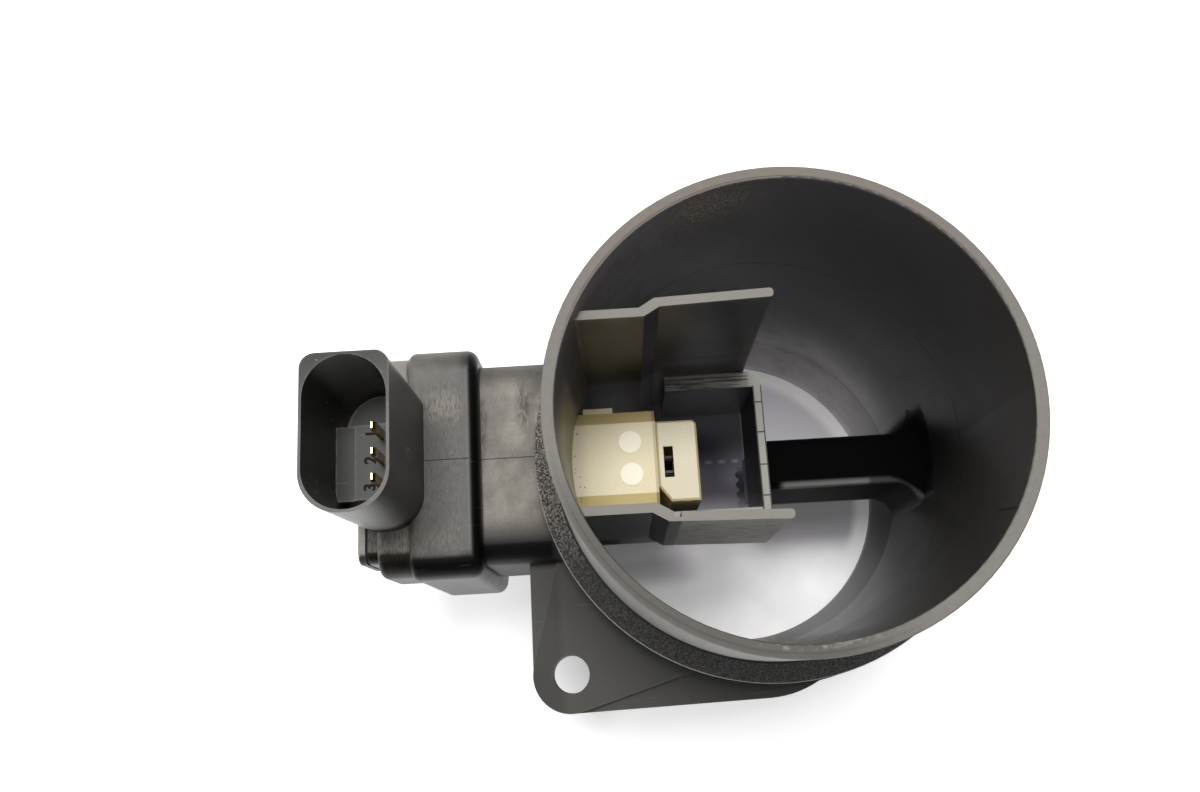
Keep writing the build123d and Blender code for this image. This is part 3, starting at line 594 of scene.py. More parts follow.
def rim_and_edges(recipe, on, colour):
    """The cut rim is grey with handling and painted darker on its low side as shade; on the low side the
    outer wall near it is painted paler in streaks, as dust and a painted sheen; the top edges inside are
    grey with handling, with painted shade in the lower wall's gap.
    """
    low_side = on.past(x=(22, 0), y=(-4, -22))
    rim_tone = recipe.blend(on.past(y=(0, 38)), (0.18, 0.168, 0.15), (0.17, 0.15, 0.13))
    # painted shade on the rim's low side
    rim_tone = recipe.layer(rim_tone, (0.092, 0.088, 0.078), low_side)
    uneven = recipe.line(recipe.noise(on.place, 0.8, 5, 0.65), 0.4, 0.75)
    colour = recipe.layer(colour, rim_tone, on.rim, uneven)
    turned_lines = recipe.either(
        recipe.both(on.within(radius=(38.95, 39.2, 0.15)), low_side, 0.45),
        recipe.both(on.within(radius=(38.15, 38.3, 0.08)), on.past(y=(8, 20)), 0.75),
    )
    colour = recipe.layer(colour, (0.035, 0.032, 0.028), on.rim, turned_lines)
    # dust and a painted sheen: the outer wall painted paler on the low side
    outer_wall = on.past(radius=(HOSE_R - 0.4, HOSE_R - 0.1), x=(30, 5), y=(12, -12))
    outer_wall = recipe.both(outer_wall, on.within(z=(71.5, RIM_Z - 0.1, 0.3)))
    drawn = recipe.mottle(recipe.in_millimetres((1, 1, 0.05)), (0.9, 4, 0.6), 0.2, 0.7)
    colour = recipe.layer(colour, (0.27, 0.258, 0.243), outer_wall, recipe.line(drawn, 0.2, 0.8))
    colour = recipe.layer(colour, (0.20, 0.185, 0.16), on.wall_tops, 0.85)
    sleeve_top = recipe.both(on.within(z=(54.0, 56.0)), on.past(radius=(30, 29)), on.up)
    colour = recipe.layer(colour, (0.34, 0.33, 0.29), sleeve_top, 0.9)
    # painted shade in the gap along the lower wall's top
    return recipe.layer(colour, SOOT_AND_SHADE, on.wall_tops, on.within(**LOWER_WALL_GAP))


def sleeve_marks(recipe, on, colour):
    """The sleeve's far bar is marked off in fields by dark lines; its ledge is drawn out in streaks."""
    fields = recipe.ramp(recipe.calc("ABSOLUTE", recipe.calc("SUBTRACT", on.x, 1.4)), 0.60, 0.72)
    for y_line in FAR_BAR_LINES_Y:
        fields = recipe.either(fields, on.within(y=(y_line - 0.14, y_line + 0.14, 0.08)))
    colour = recipe.layer(colour, SOOT_AND_SHADE, on.within(**SLEEVE_FAR_BAR), fields)
    ledge = recipe.both(on.within(**SLEEVE_LEDGE), on.past(y=(14.0, 14.4)))
    drawn_out = recipe.noise(recipe.in_millimetres((0.04, 1, 0.3)), 2.4, 4, 0.7)
    colour = recipe.layer(colour, (0.012, 0.012, 0.011), ledge, recipe.ramp(drawn_out, 0.42, 0.58), 0.9)
    pale_lines = recipe.either(recipe.ramp(drawn_out, 0.36, 0.28), on.within(y=(17.6, 18.1, 0.2)))
    return recipe.layer(colour, (0.42, 0.40, 0.36), ledge, pale_lines, 0.8)


def dirt_inside(recipe, on, colour):
    """Oily film in the channel, dirt and specks on the bore wall. Gives the crust and the dirt too."""
    recess = recipe.both(on.past(x=(-21.0, -22.5), y=(8.0, 12.0)), on.within(z=(60, 100.5, 4)), on.inside)
    oily = recipe.mask(SMUDGES, Scale=0.12, Low=0.25, High=0.6)
    colour = recipe.layer(colour, (0.045, 0.037, 0.020), recess, oily, 0.8)
    crumbs = recipe.mottle(on.place, (1.9, 6, 0.75), 0.50, 0.56)
    stray_crumbs = recipe.mottle(on.place, (1.3, 6, 0.75), 0.56, 0.62)
    dirt = recipe.either(
        recipe.both(on.near((-10, 36.5, 98), (0.085, 0.05, 0.085), 1.0, 0.1), crumbs),
        recipe.both(on.near((-18, 32, 94), (0.04, 0.04, 0.06), 1.0, 0.2), stray_crumbs, 0.6),
    )
    dirt = recipe.both(dirt, on.inside)
    colour = recipe.layer(colour, (0.50, 0.41, 0.27), dirt)
    low_lip = recipe.both(on.past(radius=(38.9, 38.3), y=(-30, -34)), on.within(x=(-8, 10, 4)))
    crumbly = recipe.mottle(recipe.in_millimetres((1, 1, 2.5)), (0.7, 6, 0.7), 0.47, 0.6)
    crust = recipe.both(low_lip, crumbly)
    colour = recipe.layer(colour, (0.24, 0.22, 0.19), crust, 0.8)
    slanting = recipe.total(on.y, recipe.both(recipe.calc("SUBTRACT", on.z, 100), 0.09))
    hair = recipe.both(recipe.span(slanting, -18.8, -18.5, 0.08), on.past(x=(20, 24), z=(94, 96)))
    hair = recipe.both(hair, on.inside)
    colour = recipe.layer(colour, SOOT_AND_SHADE, hair)
    below_rim = recipe.both(on.within(y=(-28, 0, 3)), on.past(x=(24, 30), z=(78, 84)))
    specks = recipe.either(
        recipe.mask(SPECKS, Cell=4.2, Size=0.16, Share=0.22),
        recipe.both(recipe.mask(SPECKS, Cell=2.2, Size=0.13, Share=0.3), below_rim),
    )
    return recipe.layer(colour, (0.25, 0.24, 0.2), specks, on.inside, 0.6), crust, dirt


def strut_places(recipe, on):
    """The strut, a painted highlight along its top's -Y edge and on the hem below it, and painted shade on
    the wall round its base.
    """
    strut = recipe.both(on.past(x=(2.6, 3.2), radius=(37.9, 37.2)), on.within(**STRUT))
    bent = recipe.either(recipe.calc("SUBTRACT", on.x, 28.5), 0.0)
    along = recipe.total(on.y, recipe.both(bent, bent, 0.07))
    run = recipe.either(on.within(x=(6.6, 25.5, 1.0)), recipe.both(on.within(x=(24.0, 36.5, 2.0)), 0.45))
    ridge_highlight = recipe.both(strut, recipe.span(along, -4.9, -3.5, 0.7), run, on.past(z=(40, 42)))
    hem = recipe.both(on.within(**STRUT_HEM), on.looking("Y", -0.4, -0.8), 0.6)
    foot_shade = recipe.both(on.past(x=(22, 31), z=(84, 44)), on.within(y=(-7, 10, 7)), on.past(z=(12, 16)))
    foot_shade = recipe.both(foot_shade, on.inside)
    return strut, recipe.either(ridge_highlight, hem), foot_shade


def throat_and_walls(recipe, on, colour):
    """Painted reflection of the bright table low on the bore wall, the lower wall's -Y face painted pale
    in streaks, and the wall speckled tan by the probe. Gives the painted reflection too.
    """
    # painted reflection of the bright table, low on the +X +Y side of the bore
    towards = recipe.ramp(recipe.calc("SUBTRACT", on.y, on.x), -46, 0)
    throat_reflection = recipe.both(on.past(x=(-8, 6), z=(46, 6)), towards)
    bloom = recipe.mask(SMUDGES, Scale=0.10, Low=0.2, High=0.6)
    throat_reflection = recipe.both(throat_reflection, on.inside, recipe.line(bloom, 0.5, 0.5))
    colour = recipe.layer(colour, (0.86, 0.82, 0.81), throat_reflection, 0.9)
    wall_face = recipe.both(on.within(**LOWER_WALL_FACE), on.past(z=(60, 66)), on.looking("Y", -0.6, -0.9))
    streaks = recipe.mottle(recipe.in_millimetres((0.5, 1, 2.2)), (0.6, 5, 0.7), 0.3, 0.62)
    colour = recipe.layer(colour, (0.92, 0.87, 0.83), wall_face, recipe.line(streaks, 0.7, 0.3))
    nozzle_ring = recipe.both(on.within(z=(16.7, 17.5, 0.5)), on.inside)
    colour = recipe.layer(colour, (0.03, 0.03, 0.03), nozzle_ring, 0.55)
    pepper = recipe.either(
        recipe.both(recipe.mottle(on.place, (2.2, 5, 0.75), 0.50, 0.58), 0.6),
        recipe.mask(SPECKS, Cell=0.9, Size=0.2, Share=0.45),
    )
    tan = recipe.layer((0.36, 0.30, 0.20), (0.02, 0.018, 0.014), pepper, 0.9)
    at_probe = recipe.both(on.inside, on.past(x=(-33, -34.5)), on.within(**PROBE_ENTRY))
    return recipe.layer(colour, tan, at_probe, 0.8), throat_reflection


def bead_face(recipe, on, colour, erosion):
    """The bead's spark-eroded face, outlined by a black line of painted shade in the crease at the wall
    and a painted highlight along its outer edge.
    """
    on_bead = recipe.both(on.within(**BEAD), on.past(radius=(HOSE_R, HOSE_R + 0.3)))
    pale = recipe.blend(on.past(x=(-30, -36), y=(-24, -10)), (0.075, 0.069, 0.062), (0.30, 0.275, 0.24))
    eroded = recipe.layer((0.006, 0.006, 0.006), pale, recipe.ramp(erosion, 0.42, 0.62))
    colour = recipe.layer(colour, eroded, on_bead)
    # painted shade: a black line in the crease where the bead meets the wall
    colour = recipe.layer(colour, (0.003, 0.003, 0.003), on_bead, on.within(radius=(HOSE_R, 40.35, 0.1)))
    # painted highlight along the bead's outer edge
    parting_highlight = recipe.both(on.within(**BEAD_PARTING_HIGHLIGHT), on.past(radius=(43.72, 43.82), y=(4, -12)))
    return recipe.layer(colour, (0.42, 0.40, 0.375), parting_highlight)


def duct_nylon():
    """Glass-filled black nylon of the duct: dusty on top, dirty inside, its rim rubbed grey, with painted
    shade, painted highlights and a painted reflection of the table low in the bore.
    """
    material, recipe, shader = new_finish("duct_nylon", shine=NYLON_SHINE)
    grain = recipe.use(GRAIN, Colour=BLACK, Drift=0.3, Gloss=0.56, Grain=5.0)
    on = DuctFaces(recipe)
    colour = film_and_shade_inside(recipe, on, grain["Colour"])
    colour, dust = dust_on_neck(recipe, on, colour)
    colour = rim_and_edges(recipe, on, colour)
    colour = sleeve_marks(recipe, on, colour)
    colour, crust, dirt = dirt_inside(recipe, on, colour)
    strut, ridge_highlight, strut_foot_shade = strut_places(recipe, on)
    colour, throat_reflection = throat_and_walls(recipe, on, colour)
    erosion = recipe.noise(on.place, 2.4, 5, 0.75)
    colour = bead_face(recipe, on, colour, erosion)

    # mould joint lines, and corners painted paler as wear and as a painted highlight
    ring = recipe.both(on.within(z=(CORE_JOINT_Z - 0.12, CORE_JOINT_Z + 0.12, 0.1)), on.inside)
    seam = recipe.both(on.within(**NECK_SEAM), on.past(x=(-41, -41.5)), on.up)
    groove = recipe.either(ring, seam)
    colour = recipe.layer(colour, SEAM_AND_SHADE_TONE, groove, 0.85)
    wear_and_highlight = recipe.either(recipe.mask(EDGES, Reach=0.00045, Wear=0.5), recipe.mask(SCRATCHES, Count=0.25))
    colour = recipe.layer(colour, WEAR_AND_HIGHLIGHT_TONE, wear_and_highlight)

    # painted shade: the sleeve's hollow, the notch in the lower wall, the neck's -Y side, the upper wall's
    # -Y face, the strut and the wall round its base are painted black, the darkest of them without a gloss
    notch = recipe.both(on.within(**LOWER_WALL_NOTCH), on.past(z=(98, 99)))
    shaded_flank = recipe.both(recipe.span(on.facing["Y"], -0.90, -0.24, 0.10), on.past(x=(-41, -42), z=(56, 58)))
    shaded_flank = recipe.either(shaded_flank, recipe.both(on.neck, on.past(y=(-10.5, -17.0)), 0.75))
    upper_face = recipe.both(on.within(**UPPER_WALL_FACE), on.past(radius=(37.6, 37.2)))
    upper_face = recipe.both(upper_face, on.looking("Y", -0.2, -0.7), 0.8)
    shaded_strut = recipe.both(strut, recipe.without(ridge_highlight))
    bare = recipe.either(
        shaded_strut, on.hollow, notch,
        recipe.both(shaded_flank, 0.85), recipe.both(strut_foot_shade, 0.6), recipe.both(upper_face, 0.8),
    )
    colour = recipe.layer(colour, SHADE_BLACK, bare)
    no_gloss = recipe.either(
        recipe.both(recipe.either(shaded_strut, on.hollow), on.up), notch, upper_face,
        recipe.both(shaded_flank, 0.8), recipe.both(strut_foot_shade, 0.25), recipe.both(shaded_strut, 0.6),
    )
    # painted highlight along the strut's top edge and hem
    colour = recipe.layer(colour, (0.30, 0.285, 0.27), ridge_highlight)

    recipe.feed(shader.inputs["Base Color"], colour)
    recipe.feed(shader.inputs["Metallic"], no_gloss)
    dusty = recipe.either(dust, on.rim, crust, dirt, shaded_strut)
    satin = recipe.calc("SUBTRACT", grain["Roughness"], recipe.both(on.inside, 0.20))
    recipe.feed(shader.inputs["Roughness"], recipe.between(dusty, satin, 0.75))
    polished = recipe.both(throat_reflection, on.past(z=(40, 18)), recipe.without(recipe.either(strut, strut_foot_shade)))
    recipe.feed(shader.inputs["Coat Weight"], polished)
    shader.inputs["Coat Roughness"].default_value = 0.24
    on_bead = recipe.both(
        on.within(z=(CORE_JOINT_Z - 3, CORE_JOINT_Z + 3.2, 0.2)), on.past(radius=(HOSE_R, HOSE_R + 0.4))
    )
    height = recipe.total(
        recipe.both(grain["Height"], 0.25), recipe.both(on_bead, erosion, 2.0),
        recipe.both(recipe.either(crust, dirt), 0.8), recipe.both(groove, -1.2),
    )
    give_relief(recipe, shader, height, 0.12, 0.6)
    return material


# ---------------------------------------------------------------- the other finishes
def dust_on_case(recipe, on, colour):
    """Dust on the band's top, thinning towards its -Y edge as painted shade, on the shroud's rim and
    behind the band. Gives the colour and the dust.
    """
    on_band = on.within(**BAND_TOP)
    behind = on.past(x=(-68.9, -69.3), z=(72, 70))
    pale_patch = recipe.both(on.within(y=(8, 16, 4)), on.past(x=(-67.5, -64)), 0.82)
    low_patch = recipe.both(on.near((-62.7, -14.0, 0), (0.16, 0.28, 0), 1.0, 0.2), 0.55)
    # less dust towards the band's -Y edge, a painted shade
    edge_fade = on.past(x=(-56.6, -59.6), y=(-20.5, -15.5))
    on_top = recipe.both(recipe.either(pale_patch, low_patch, 0.37), edge_fade)
    amount = recipe.either(
        recipe.between(on_band, 0.05, on_top),
        recipe.both(on.past(z=(96.8, 97.2)), on.past(y=(8, 0)), 0.3),
        recipe.both(behind, 0.45),
    )
    dust = recipe.mask(DUST, Amount=amount, Patches=0.12, Bare=0.3)
    colour = recipe.layer(colour, DUST_TONE, dust)
    film = recipe.mask(SMUDGES, Scale=0.3, Low=0.1, High=0.6)
    colour = recipe.layer(colour, DUST_TONE, behind, on.looking("Z", 0.2, 0.7), film, 0.5)
    wiped = recipe.mottle(recipe.in_millimetres((2.6, 0.6, 1)), (1.2, 6, 0.75), 0.44, 0.62)
    colour = recipe.layer(colour, (0.035, 0.033, 0.028), wiped, on_band, on.up, on.past(y=(19, 15)), 0.75)
    flecks = recipe.mask(SPECKS, Cell=0.9, Size=0.10, Share=0.16)
    return recipe.layer(colour, (0.42, 0.40, 0.34), flecks, on_band, on.up, 0.6), dust


def shroud_marks(recipe, on, colour):
    """The socket's floor painted dark as shade, darker and matte on its lowest part and on the shroud's
    top towards +Y, a crescent scratch and pale specks. Gives the dull faces too.
    """
    socket_floor = recipe.both(on.within(**SOCKET_FLOOR), on.up)
    # painted shade on the socket's floor
    colour = recipe.layer(colour, (0.02, 0.02, 0.019), socket_floor, 0.5)
    # darker and without a gloss: painted shade on the socket floor's lowest part, and the shroud's top
    # towards +Y
    dull = recipe.either(
        recipe.both(socket_floor, recipe.between(on.past(z=(77.4, 77.6)), 0.55, 0.3)),
        recipe.both(on.past(z=(96.8, 97.2)), on.past(y=(4, 16)), 0.6),
    )
    dull = recipe.both(dull, on.up)
    colour = recipe.layer(colour, SEAM_AND_SHADE_TONE, dull)
    reach = recipe.length_of(on.place, (0, 1, 1), (0, -0.6, 81.3))
    crescent = recipe.both(recipe.span(reach, 1.25, 1.45, 0.08), on.past(x=(-69, -68), y=(-1.6, -1.0)))
    colour = recipe.layer(colour, (0.32, 0.31, 0.29), crescent, on.within(z=(79, 84)), 0.8)
    far_inner_wall = recipe.both(on.past(x=(-76, -77)), on.within(z=(79, 96)), on.looking("X", 0.3, 0.8))
    pinpricks = recipe.mask(SPECKS, Cell=2.0, Size=0.18, Share=0.6)
    colour = recipe.layer(colour, (0.6, 0.6, 0.5), pinpricks, far_inner_wall)
    low_side = recipe.both(on.looking("Y", -0.5, -0.95), on.past(x=(-66, -72), z=(68, 72)))
    return recipe.layer(colour, (0.24, 0.235, 0.22), low_side, 0.8), dull


def case_nylon():
    """The same nylon on the electronics case: satin, dusty on top, paler along its corners as wear and
    painted highlight, with painted shade on its -Y and +X sides.
    """
    material, recipe, shader = new_finish("case_nylon", shine=NYLON_SHINE)
    grain = recipe.use(GRAIN, Colour=BLACK, Drift=0.3, Gloss=0.40, Grain=4.0)
    on = Faces(recipe)
    colour, dust = dust_on_case(recipe, on, grain["Colour"])
    seam = recipe.both(on.within(**BAND_SEAM), on.within(**BAND_TOP), on.up)
    colour = recipe.layer(colour, SEAM_AND_SHADE_TONE, seam, 0.9)
    colour, dull = shroud_marks(recipe, on, colour)
    # painted shade: faces looking -Y at the band's height and faces looking +X towards the duct, black and
    # without a gloss
    low_flank = recipe.either(
        recipe.span(on.facing["Y"], -0.93, -0.20, 0.10), recipe.both(on.looking("Y", -0.8, -0.95), 0.6)
    )
    low_flank = recipe.both(low_flank, on.past(z=(28, 52)), on.past(z=(68, 67)))
    duct_flank = recipe.both(on.looking("X", 0.15, 0.45), on.past(x=(-59, -58), z=(52, 56)))
    shaded_flank = recipe.both(recipe.either(low_flank, duct_flank), 0.85)
    colour = recipe.layer(colour, SOOT_AND_SHADE, shaded_flank)
    # corners paler as wear and as a painted highlight, with scratches and pale specks
    wear_and_highlight = recipe.either(
        recipe.mask(EDGES, Reach=0.0006, Wear=0.5),
        recipe.mask(SCRATCHES, Count=0.3),
        recipe.both(recipe.mask(SPECKS, Cell=3.4, Size=0.13, Share=0.16), on.past(z=(60, 62))),
    )
    recipe.feed(shader.inputs["Base Color"], recipe.layer(colour, WEAR_AND_HIGHLIGHT_TONE, wear_and_highlight))
    recipe.feed(shader.inputs["Metallic"], recipe.either(recipe.both(shaded_flank, 0.95), dull))
    recipe.feed(shader.inputs["Roughness"], recipe.between(dust, grain["Roughness"], 0.72))
    drawn = recipe.noise(recipe.in_millimetres((1.5, 1.5, 0.03)), 1.6, 3, 0.6)
    in_socket = recipe.both(on.past(z=(69, 71)), recipe.without(on.up))
    height = recipe.total(
        recipe.both(grain["Height"], 0.3), recipe.both(in_socket, drawn), recipe.both(seam, -1)
    )
    give_relief(recipe, shader, height, 0.1, 0.5)
    return material


def cover_nylon():
    """The case's thin cover, with more dust along its upper edge."""
    material, recipe, shader = new_finish("cover_nylon", shine=NYLON_SHINE)
    grain = recipe.use(GRAIN, Colour=(0.035, 0.034, 0.032), Drift=0.25, Gloss=0.5, Grain=4.5)
    dust = recipe.mask(DUST, Amount=1.0, Patches=0.2, Bare=0.2)
    colour = recipe.layer(grain["Colour"], (0.46, 0.43, 0.37), dust)
    # corners paler as wear and as a painted highlight, with scratches
    wear_and_highlight = recipe.either(recipe.mask(EDGES, Reach=0.0004, Wear=0.6), recipe.mask(SCRATCHES, Count=0.3))
    recipe.feed(shader.inputs["Base Color"], recipe.layer(colour, WEAR_AND_HIGHLIGHT_TONE, wear_and_highlight))
    recipe.feed(shader.inputs["Roughness"], grain["Roughness"])
    give_relief(recipe, shader, grain["Height"], 0.04, 0.5)
    return material


def seal_rubber():
    """Black rubber with a grey bloom."""
    material, recipe, shader = new_finish("seal_rubber")
    grain = recipe.use(GRAIN, Colour=(0.018, 0.018, 0.019), Drift=0.2, Gloss=0.62, Grain=7.0)
    bloom = recipe.mask(SMUDGES, Scale=0.3, Low=0.5, High=0.75)
    colour = recipe.layer(grain["Colour"], (0.09, 0.088, 0.085), bloom, 0.3)
    recipe.feed(shader.inputs["Base Color"], colour)
    recipe.feed(shader.inputs["Roughness"], grain["Roughness"])
    give_relief(recipe, shader, grain["Height"], 0.03, 0.4)
    return material


def toned(colour, factors):
    return [min(0.9, part * factor) for part, factor in zip(colour, factors)]


def ivory_plastic(name, colour, marks):
    """Ivory plastic: black specks all over, painted yellower on faces that don't look up and paler on
    faces that look -Y as painted shading; marks is 1 for the body, with its discs, painted shade in its
    joint and dirt.
    """
    material, recipe, shader = new_finish(name)
    grain = recipe.use(GRAIN, Colour=colour, Drift=0.06, Gloss=0.42, Grain=3.0)
    on = Faces(recipe)
    up = on.looking("Z", 0.75, 0.98)
    # painted shading: yellower on faces that don't look up, paler on faces that look -Y
    shade = recipe.layer(grain["Colour"], toned(colour, (1.0, 0.93, 0.72)), recipe.without(up))
    shade = recipe.layer(shade, toned(colour, (1.45, 1.35, 1.05)), on.looking("Y", -0.3, -0.7))
    # painted shade in the joint between the body and the nose
    shade = recipe.layer(shade, (0.30, 0.24, 0.09), on.within(x=(-20.75, -20.25, 0.15)), marks, 0.75)
    shade = recipe.layer(shade, (0.16, 0.14, 0.09), on.past(x=(-33.5, -36.0)), marks, 0.2)
    pepper = recipe.both(recipe.mask(SPECKS, Cell=0.8, Size=0.15, Share=0.4), on.past(x=(-33.2, -34.8)))
    shade = recipe.layer(shade, (0.05, 0.045, 0.03), pepper, marks)
    specks = recipe.either(
        recipe.mask(SPECKS, Cell=3.1, Size=0.17, Share=0.16),
        recipe.mask(SPECKS, Cell=1.3, Size=0.05, Share=0.25),
    )
    shade = recipe.layer(shade, (0.06, 0.045, 0.02), specks, 0.8)
    discs = recipe.either(
        on.near((DISC_X, AXIS_Y + DISC_STEP, 0), (1, 1, 0), 2.35, 2.2),
        on.near((DISC_X, AXIS_Y - DISC_STEP, 0), (1, 1, 0), 2.35, 2.2),
    )
    shade = recipe.layer(shade, (0.90, 0.84, 0.66), discs, up, on.within(z=(58.0, 59.2, 0.2)), marks, 0.75)
    grubby = recipe.mask(EDGES, Reach=0.00035, Wear=0.35)
    shade = recipe.layer(shade, toned(colour, (0.6, 0.6, 0.6)), grubby)
    recipe.feed(shader.inputs["Base Color"], shade)
    recipe.feed(shader.inputs["Roughness"], grain["Roughness"])
    shader.inputs["Subsurface Weight"].default_value = 0.08
    shader.inputs["Subsurface Radius"].default_value = (0.002, 0.0014, 0.0008)
    give_relief(recipe, shader, grain["Height"], 0.02, 0.4)
    return material


def plated(name, colour, gloss, tarnish):
    """Bare or plated metal with tarnish and rolled lines."""
    material, recipe, shader = new_finish(name, metallic=1.0)
    grain = recipe.use(GRAIN, Colour=colour, Drift=0.15, Gloss=gloss, Grain=9.0)
    dull = recipe.mask(SMUDGES, Scale=0.6, Low=0.45, High=0.75)
    recipe.feed(shader.inputs["Base Color"], recipe.layer(grain["Colour"], tarnish, dull, 0.6))
    recipe.feed(shader.inputs["Roughness"], grain["Roughness"])
    rolled = recipe.noise(recipe.in_millimetres((9, 9, 0.4)), 1.0, 3, 0.6)
    give_relief(recipe, shader, rolled, 0.01, 0.4)
    return material


def pin_gold():
    """Gold flash at the tips of the pins, bare brass below."""
    material, recipe, shader = new_finish("pin_gold", metallic=1.0)
    grain = recipe.use(GRAIN, Colour=(0.95, 0.72, 0.32), Drift=0.1, Gloss=0.28, Grain=9.0)
    stem = Faces(recipe).past(z=(84.5, 82.0))
    colour = recipe.layer(grain["Colour"], (0.42, 0.25, 0.09), stem, 0.85)
    dull = recipe.mask(SMUDGES, Scale=0.9, Low=0.5, High=0.75)
    recipe.feed(shader.inputs["Base Color"], recipe.layer(colour, (0.20, 0.10, 0.04), dull, 0.4))
    recipe.feed(shader.inputs["Roughness"], grain["Roughness"])
    give_relief(recipe, shader, grain["Height"], 0.008, 0.4)
    return material


def lead_metal():
    """Steel leads, varnished black where they carry the elements."""
    material, recipe, shader = new_finish("lead_steel")
    grain = recipe.use(GRAIN, Colour=(0.55, 0.55, 0.54), Drift=0.12, Gloss=0.35, Grain=9.0)
    bare = Faces(recipe).past(x=(-22.5, -24.0))
    recipe.feed(shader.inputs["Metallic"], bare)
    recipe.feed(shader.inputs["Base Color"], recipe.blend(bare, (0.008, 0.008, 0.009), grain["Colour"]))
    recipe.feed(shader.inputs["Roughness"], recipe.between(bare, 0.75, grain["Roughness"]))
    rolled = recipe.noise(recipe.in_millimetres((0.4, 9, 9)), 1.0, 3, 0.6)
    give_relief(recipe, shader, rolled, 0.01, 0.4)
    return material


def hard_part(name, colour, gloss, fleck, fleck_share=0.3):
    """Board resin, chip plastic or ceramic: one colour with a finer fleck of another."""
    material, recipe, shader = new_finish(name)
    grain = recipe.use(GRAIN, Colour=colour, Drift=0.15, Gloss=gloss, Grain=8.0)
    weave = recipe.mottle(recipe.in_millimetres(), (5.0, 4, 0.7), 0.5, 0.62)
    recipe.feed(shader.inputs["Base Color"], recipe.layer(grain["Colour"], fleck, weave, fleck_share))
    recipe.feed(shader.inputs["Roughness"], grain["Roughness"])
    give_relief(recipe, shader, weave, 0.01, 0.4)
    return material


def sunk_mark():
    """Sunk lettering: dirt-filled, almost black."""
    material, recipe, shader = new_finish("sunk_mark", shine=0.1)
    grain = recipe.use(GRAIN, Colour=SOOT_AND_SHADE, Drift=0.2, Gloss=0.6, Grain=8.0)
    recipe.feed(shader.inputs["Base Color"], grain["Colour"])
    recipe.feed(shader.inputs["Roughness"], grain["Roughness"])
    give_relief(recipe, shader, grain["Height"], 0.01, 0.4)
    return material


# ---------------------------------------------------------------- detail pieces
def start_clean():
    if bpy.context.object and bpy.context.object.mode != "OBJECT":
        bpy.ops.object.mode_set(mode="OBJECT")
    bpy.ops.object.select_all(action="DESELECT")


def settle(piece, name, material):
    """The finished piece: its place goes into its mesh, and it rides on the part."""
    start_clean()
    piece.select_set(True)
    bpy.context.view_layer.objects.active = piece
    bpy.ops.object.transform_apply(location=True, rotation=True, scale=True)
    piece.name = piece.data.name = name
    piece.data.materials.clear()
    piece.data.materials.append(material)
    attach(piece, "root")
    return piece


def pin_numbers(material):
    """1, 2 and 3 beside the pins, read from the +X side."""
    for number, x, y in PIN_NUMBERS:
        start_clean()
        bpy.ops.object.text_add(location=(x / 1000, y / 1000, (PLATFORM_Z + 0.01) / 1000))
        text = bpy.context.object
        text.data.body = number
        text.data.size = 0.0029
        text.data.offset = 0.00010
        text.data.extrude = 0.00003
        text.data.align_x = "CENTER"
        text.data.align_y = "CENTER"
        bpy.ops.object.convert(target="MESH")
        piece = bpy.context.object
        piece.rotation_euler = (0, 0, math.radians(90))
        settle(piece, "pin_number_" + number, material)


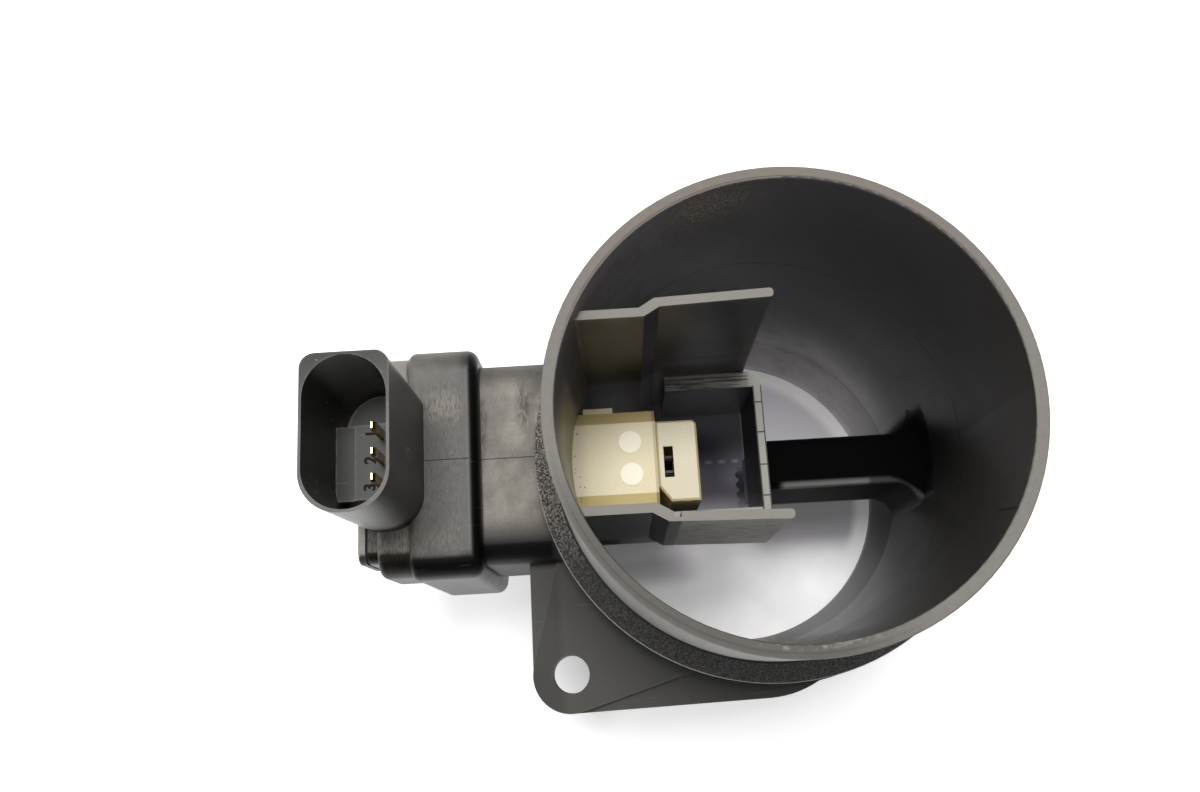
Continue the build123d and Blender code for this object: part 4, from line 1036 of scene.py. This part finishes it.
def passage_baffle(material):
    """A bent black wall low in the probe's air path, a dark sheet that stands for the shade deep in the
    passage and closes the view through it.
    """
    start_clean()
    bpy.ops.mesh.primitive_cube_add(size=1, location=BAFFLE_PLACE)
    piece = bpy.context.object
    piece.scale = BAFFLE_SIZE
    bpy.ops.object.transform_apply(location=False, rotation=False, scale=True)
    bpy.ops.object.mode_set(mode="EDIT")
    bpy.ops.mesh.select_all(action="SELECT")
    bpy.ops.mesh.subdivide(number_cuts=6)
    bpy.ops.mesh.select_all(action="DESELECT")
    bpy.ops.object.mode_set(mode="OBJECT")
    for vertex in piece.data.vertices:
        vertex.select = abs(vertex.co.y) < 0.0002
    bpy.ops.object.mode_set(mode="EDIT")
    bpy.ops.transform.translate(
        value=(0, 0, BAFFLE_BEND),
        use_proportional_edit=True,
        proportional_edit_falloff="SMOOTH",
        proportional_size=BAFFLE_BEND_REACH,
    )
    bpy.ops.object.mode_set(mode="OBJECT")
    settle(piece, "passage_baffle", material)


# ---------------------------------------------------------------- the scene
place_camera()
light_the_table()
lay_the_floor()

dress("duct_housing", duct_nylon())
dress("electronics_case", case_nylon())
dress("case_cover", cover_nylon())
rubber = seal_rubber()
for node in ("spigot_seal", "probe_seal", "cover_gasket"):
    dress(node, rubber)
dress("probe_body", ivory_plastic("probe_ivory", (0.64, 0.55, 0.325), 1.0))
dress("bypass_cover", ivory_plastic("cover_ivory", (0.56, 0.49, 0.325), 0.0))
gold = pin_gold()
for node in ("terminal_1", "terminal_2", "terminal_3"):
    dress(node, gold)
dress("heat_spreader", plated("spreader_aluminium", (0.72, 0.73, 0.74), 0.38, (0.45, 0.45, 0.45)))
dress("bond_ribbons", plated("ribbon_aluminium", (0.80, 0.80, 0.80), 0.3, (0.55, 0.55, 0.55)))
dress("element_leads", lead_metal())
dress("circuit_board", hard_part("board_resin", (0.02, 0.10, 0.045), 0.4, (0.05, 0.16, 0.07)))
chip = hard_part("chip_plastic", (0.02, 0.02, 0.021), 0.5, (0.05, 0.05, 0.05))
dress("control_chip", chip)
dress("power_transistor", chip)
dress("board_capacitors", hard_part("capacitor_ceramic", (0.42, 0.30, 0.18), 0.45, (0.55, 0.42, 0.28)))
dress("board_resistors", hard_part("resistor_ceramic", (0.05, 0.05, 0.055), 0.4, (0.6, 0.6, 0.6), 0.15))
element = hard_part("element_ceramic", (0.02, 0.02, 0.022), 0.5, (0.05, 0.05, 0.05))
dress("heater_plate", element)
dress("temperature_plate", element)

pin_numbers(sunk_mark())
# a black sheet standing for the shade deep in the probe's air path
passage_baffle(hard_part("dark_baffle", (0.006, 0.006, 0.006), 0.8, (0.012, 0.012, 0.012)))

bpy.context.scene.view_settings.view_transform = "Standard"
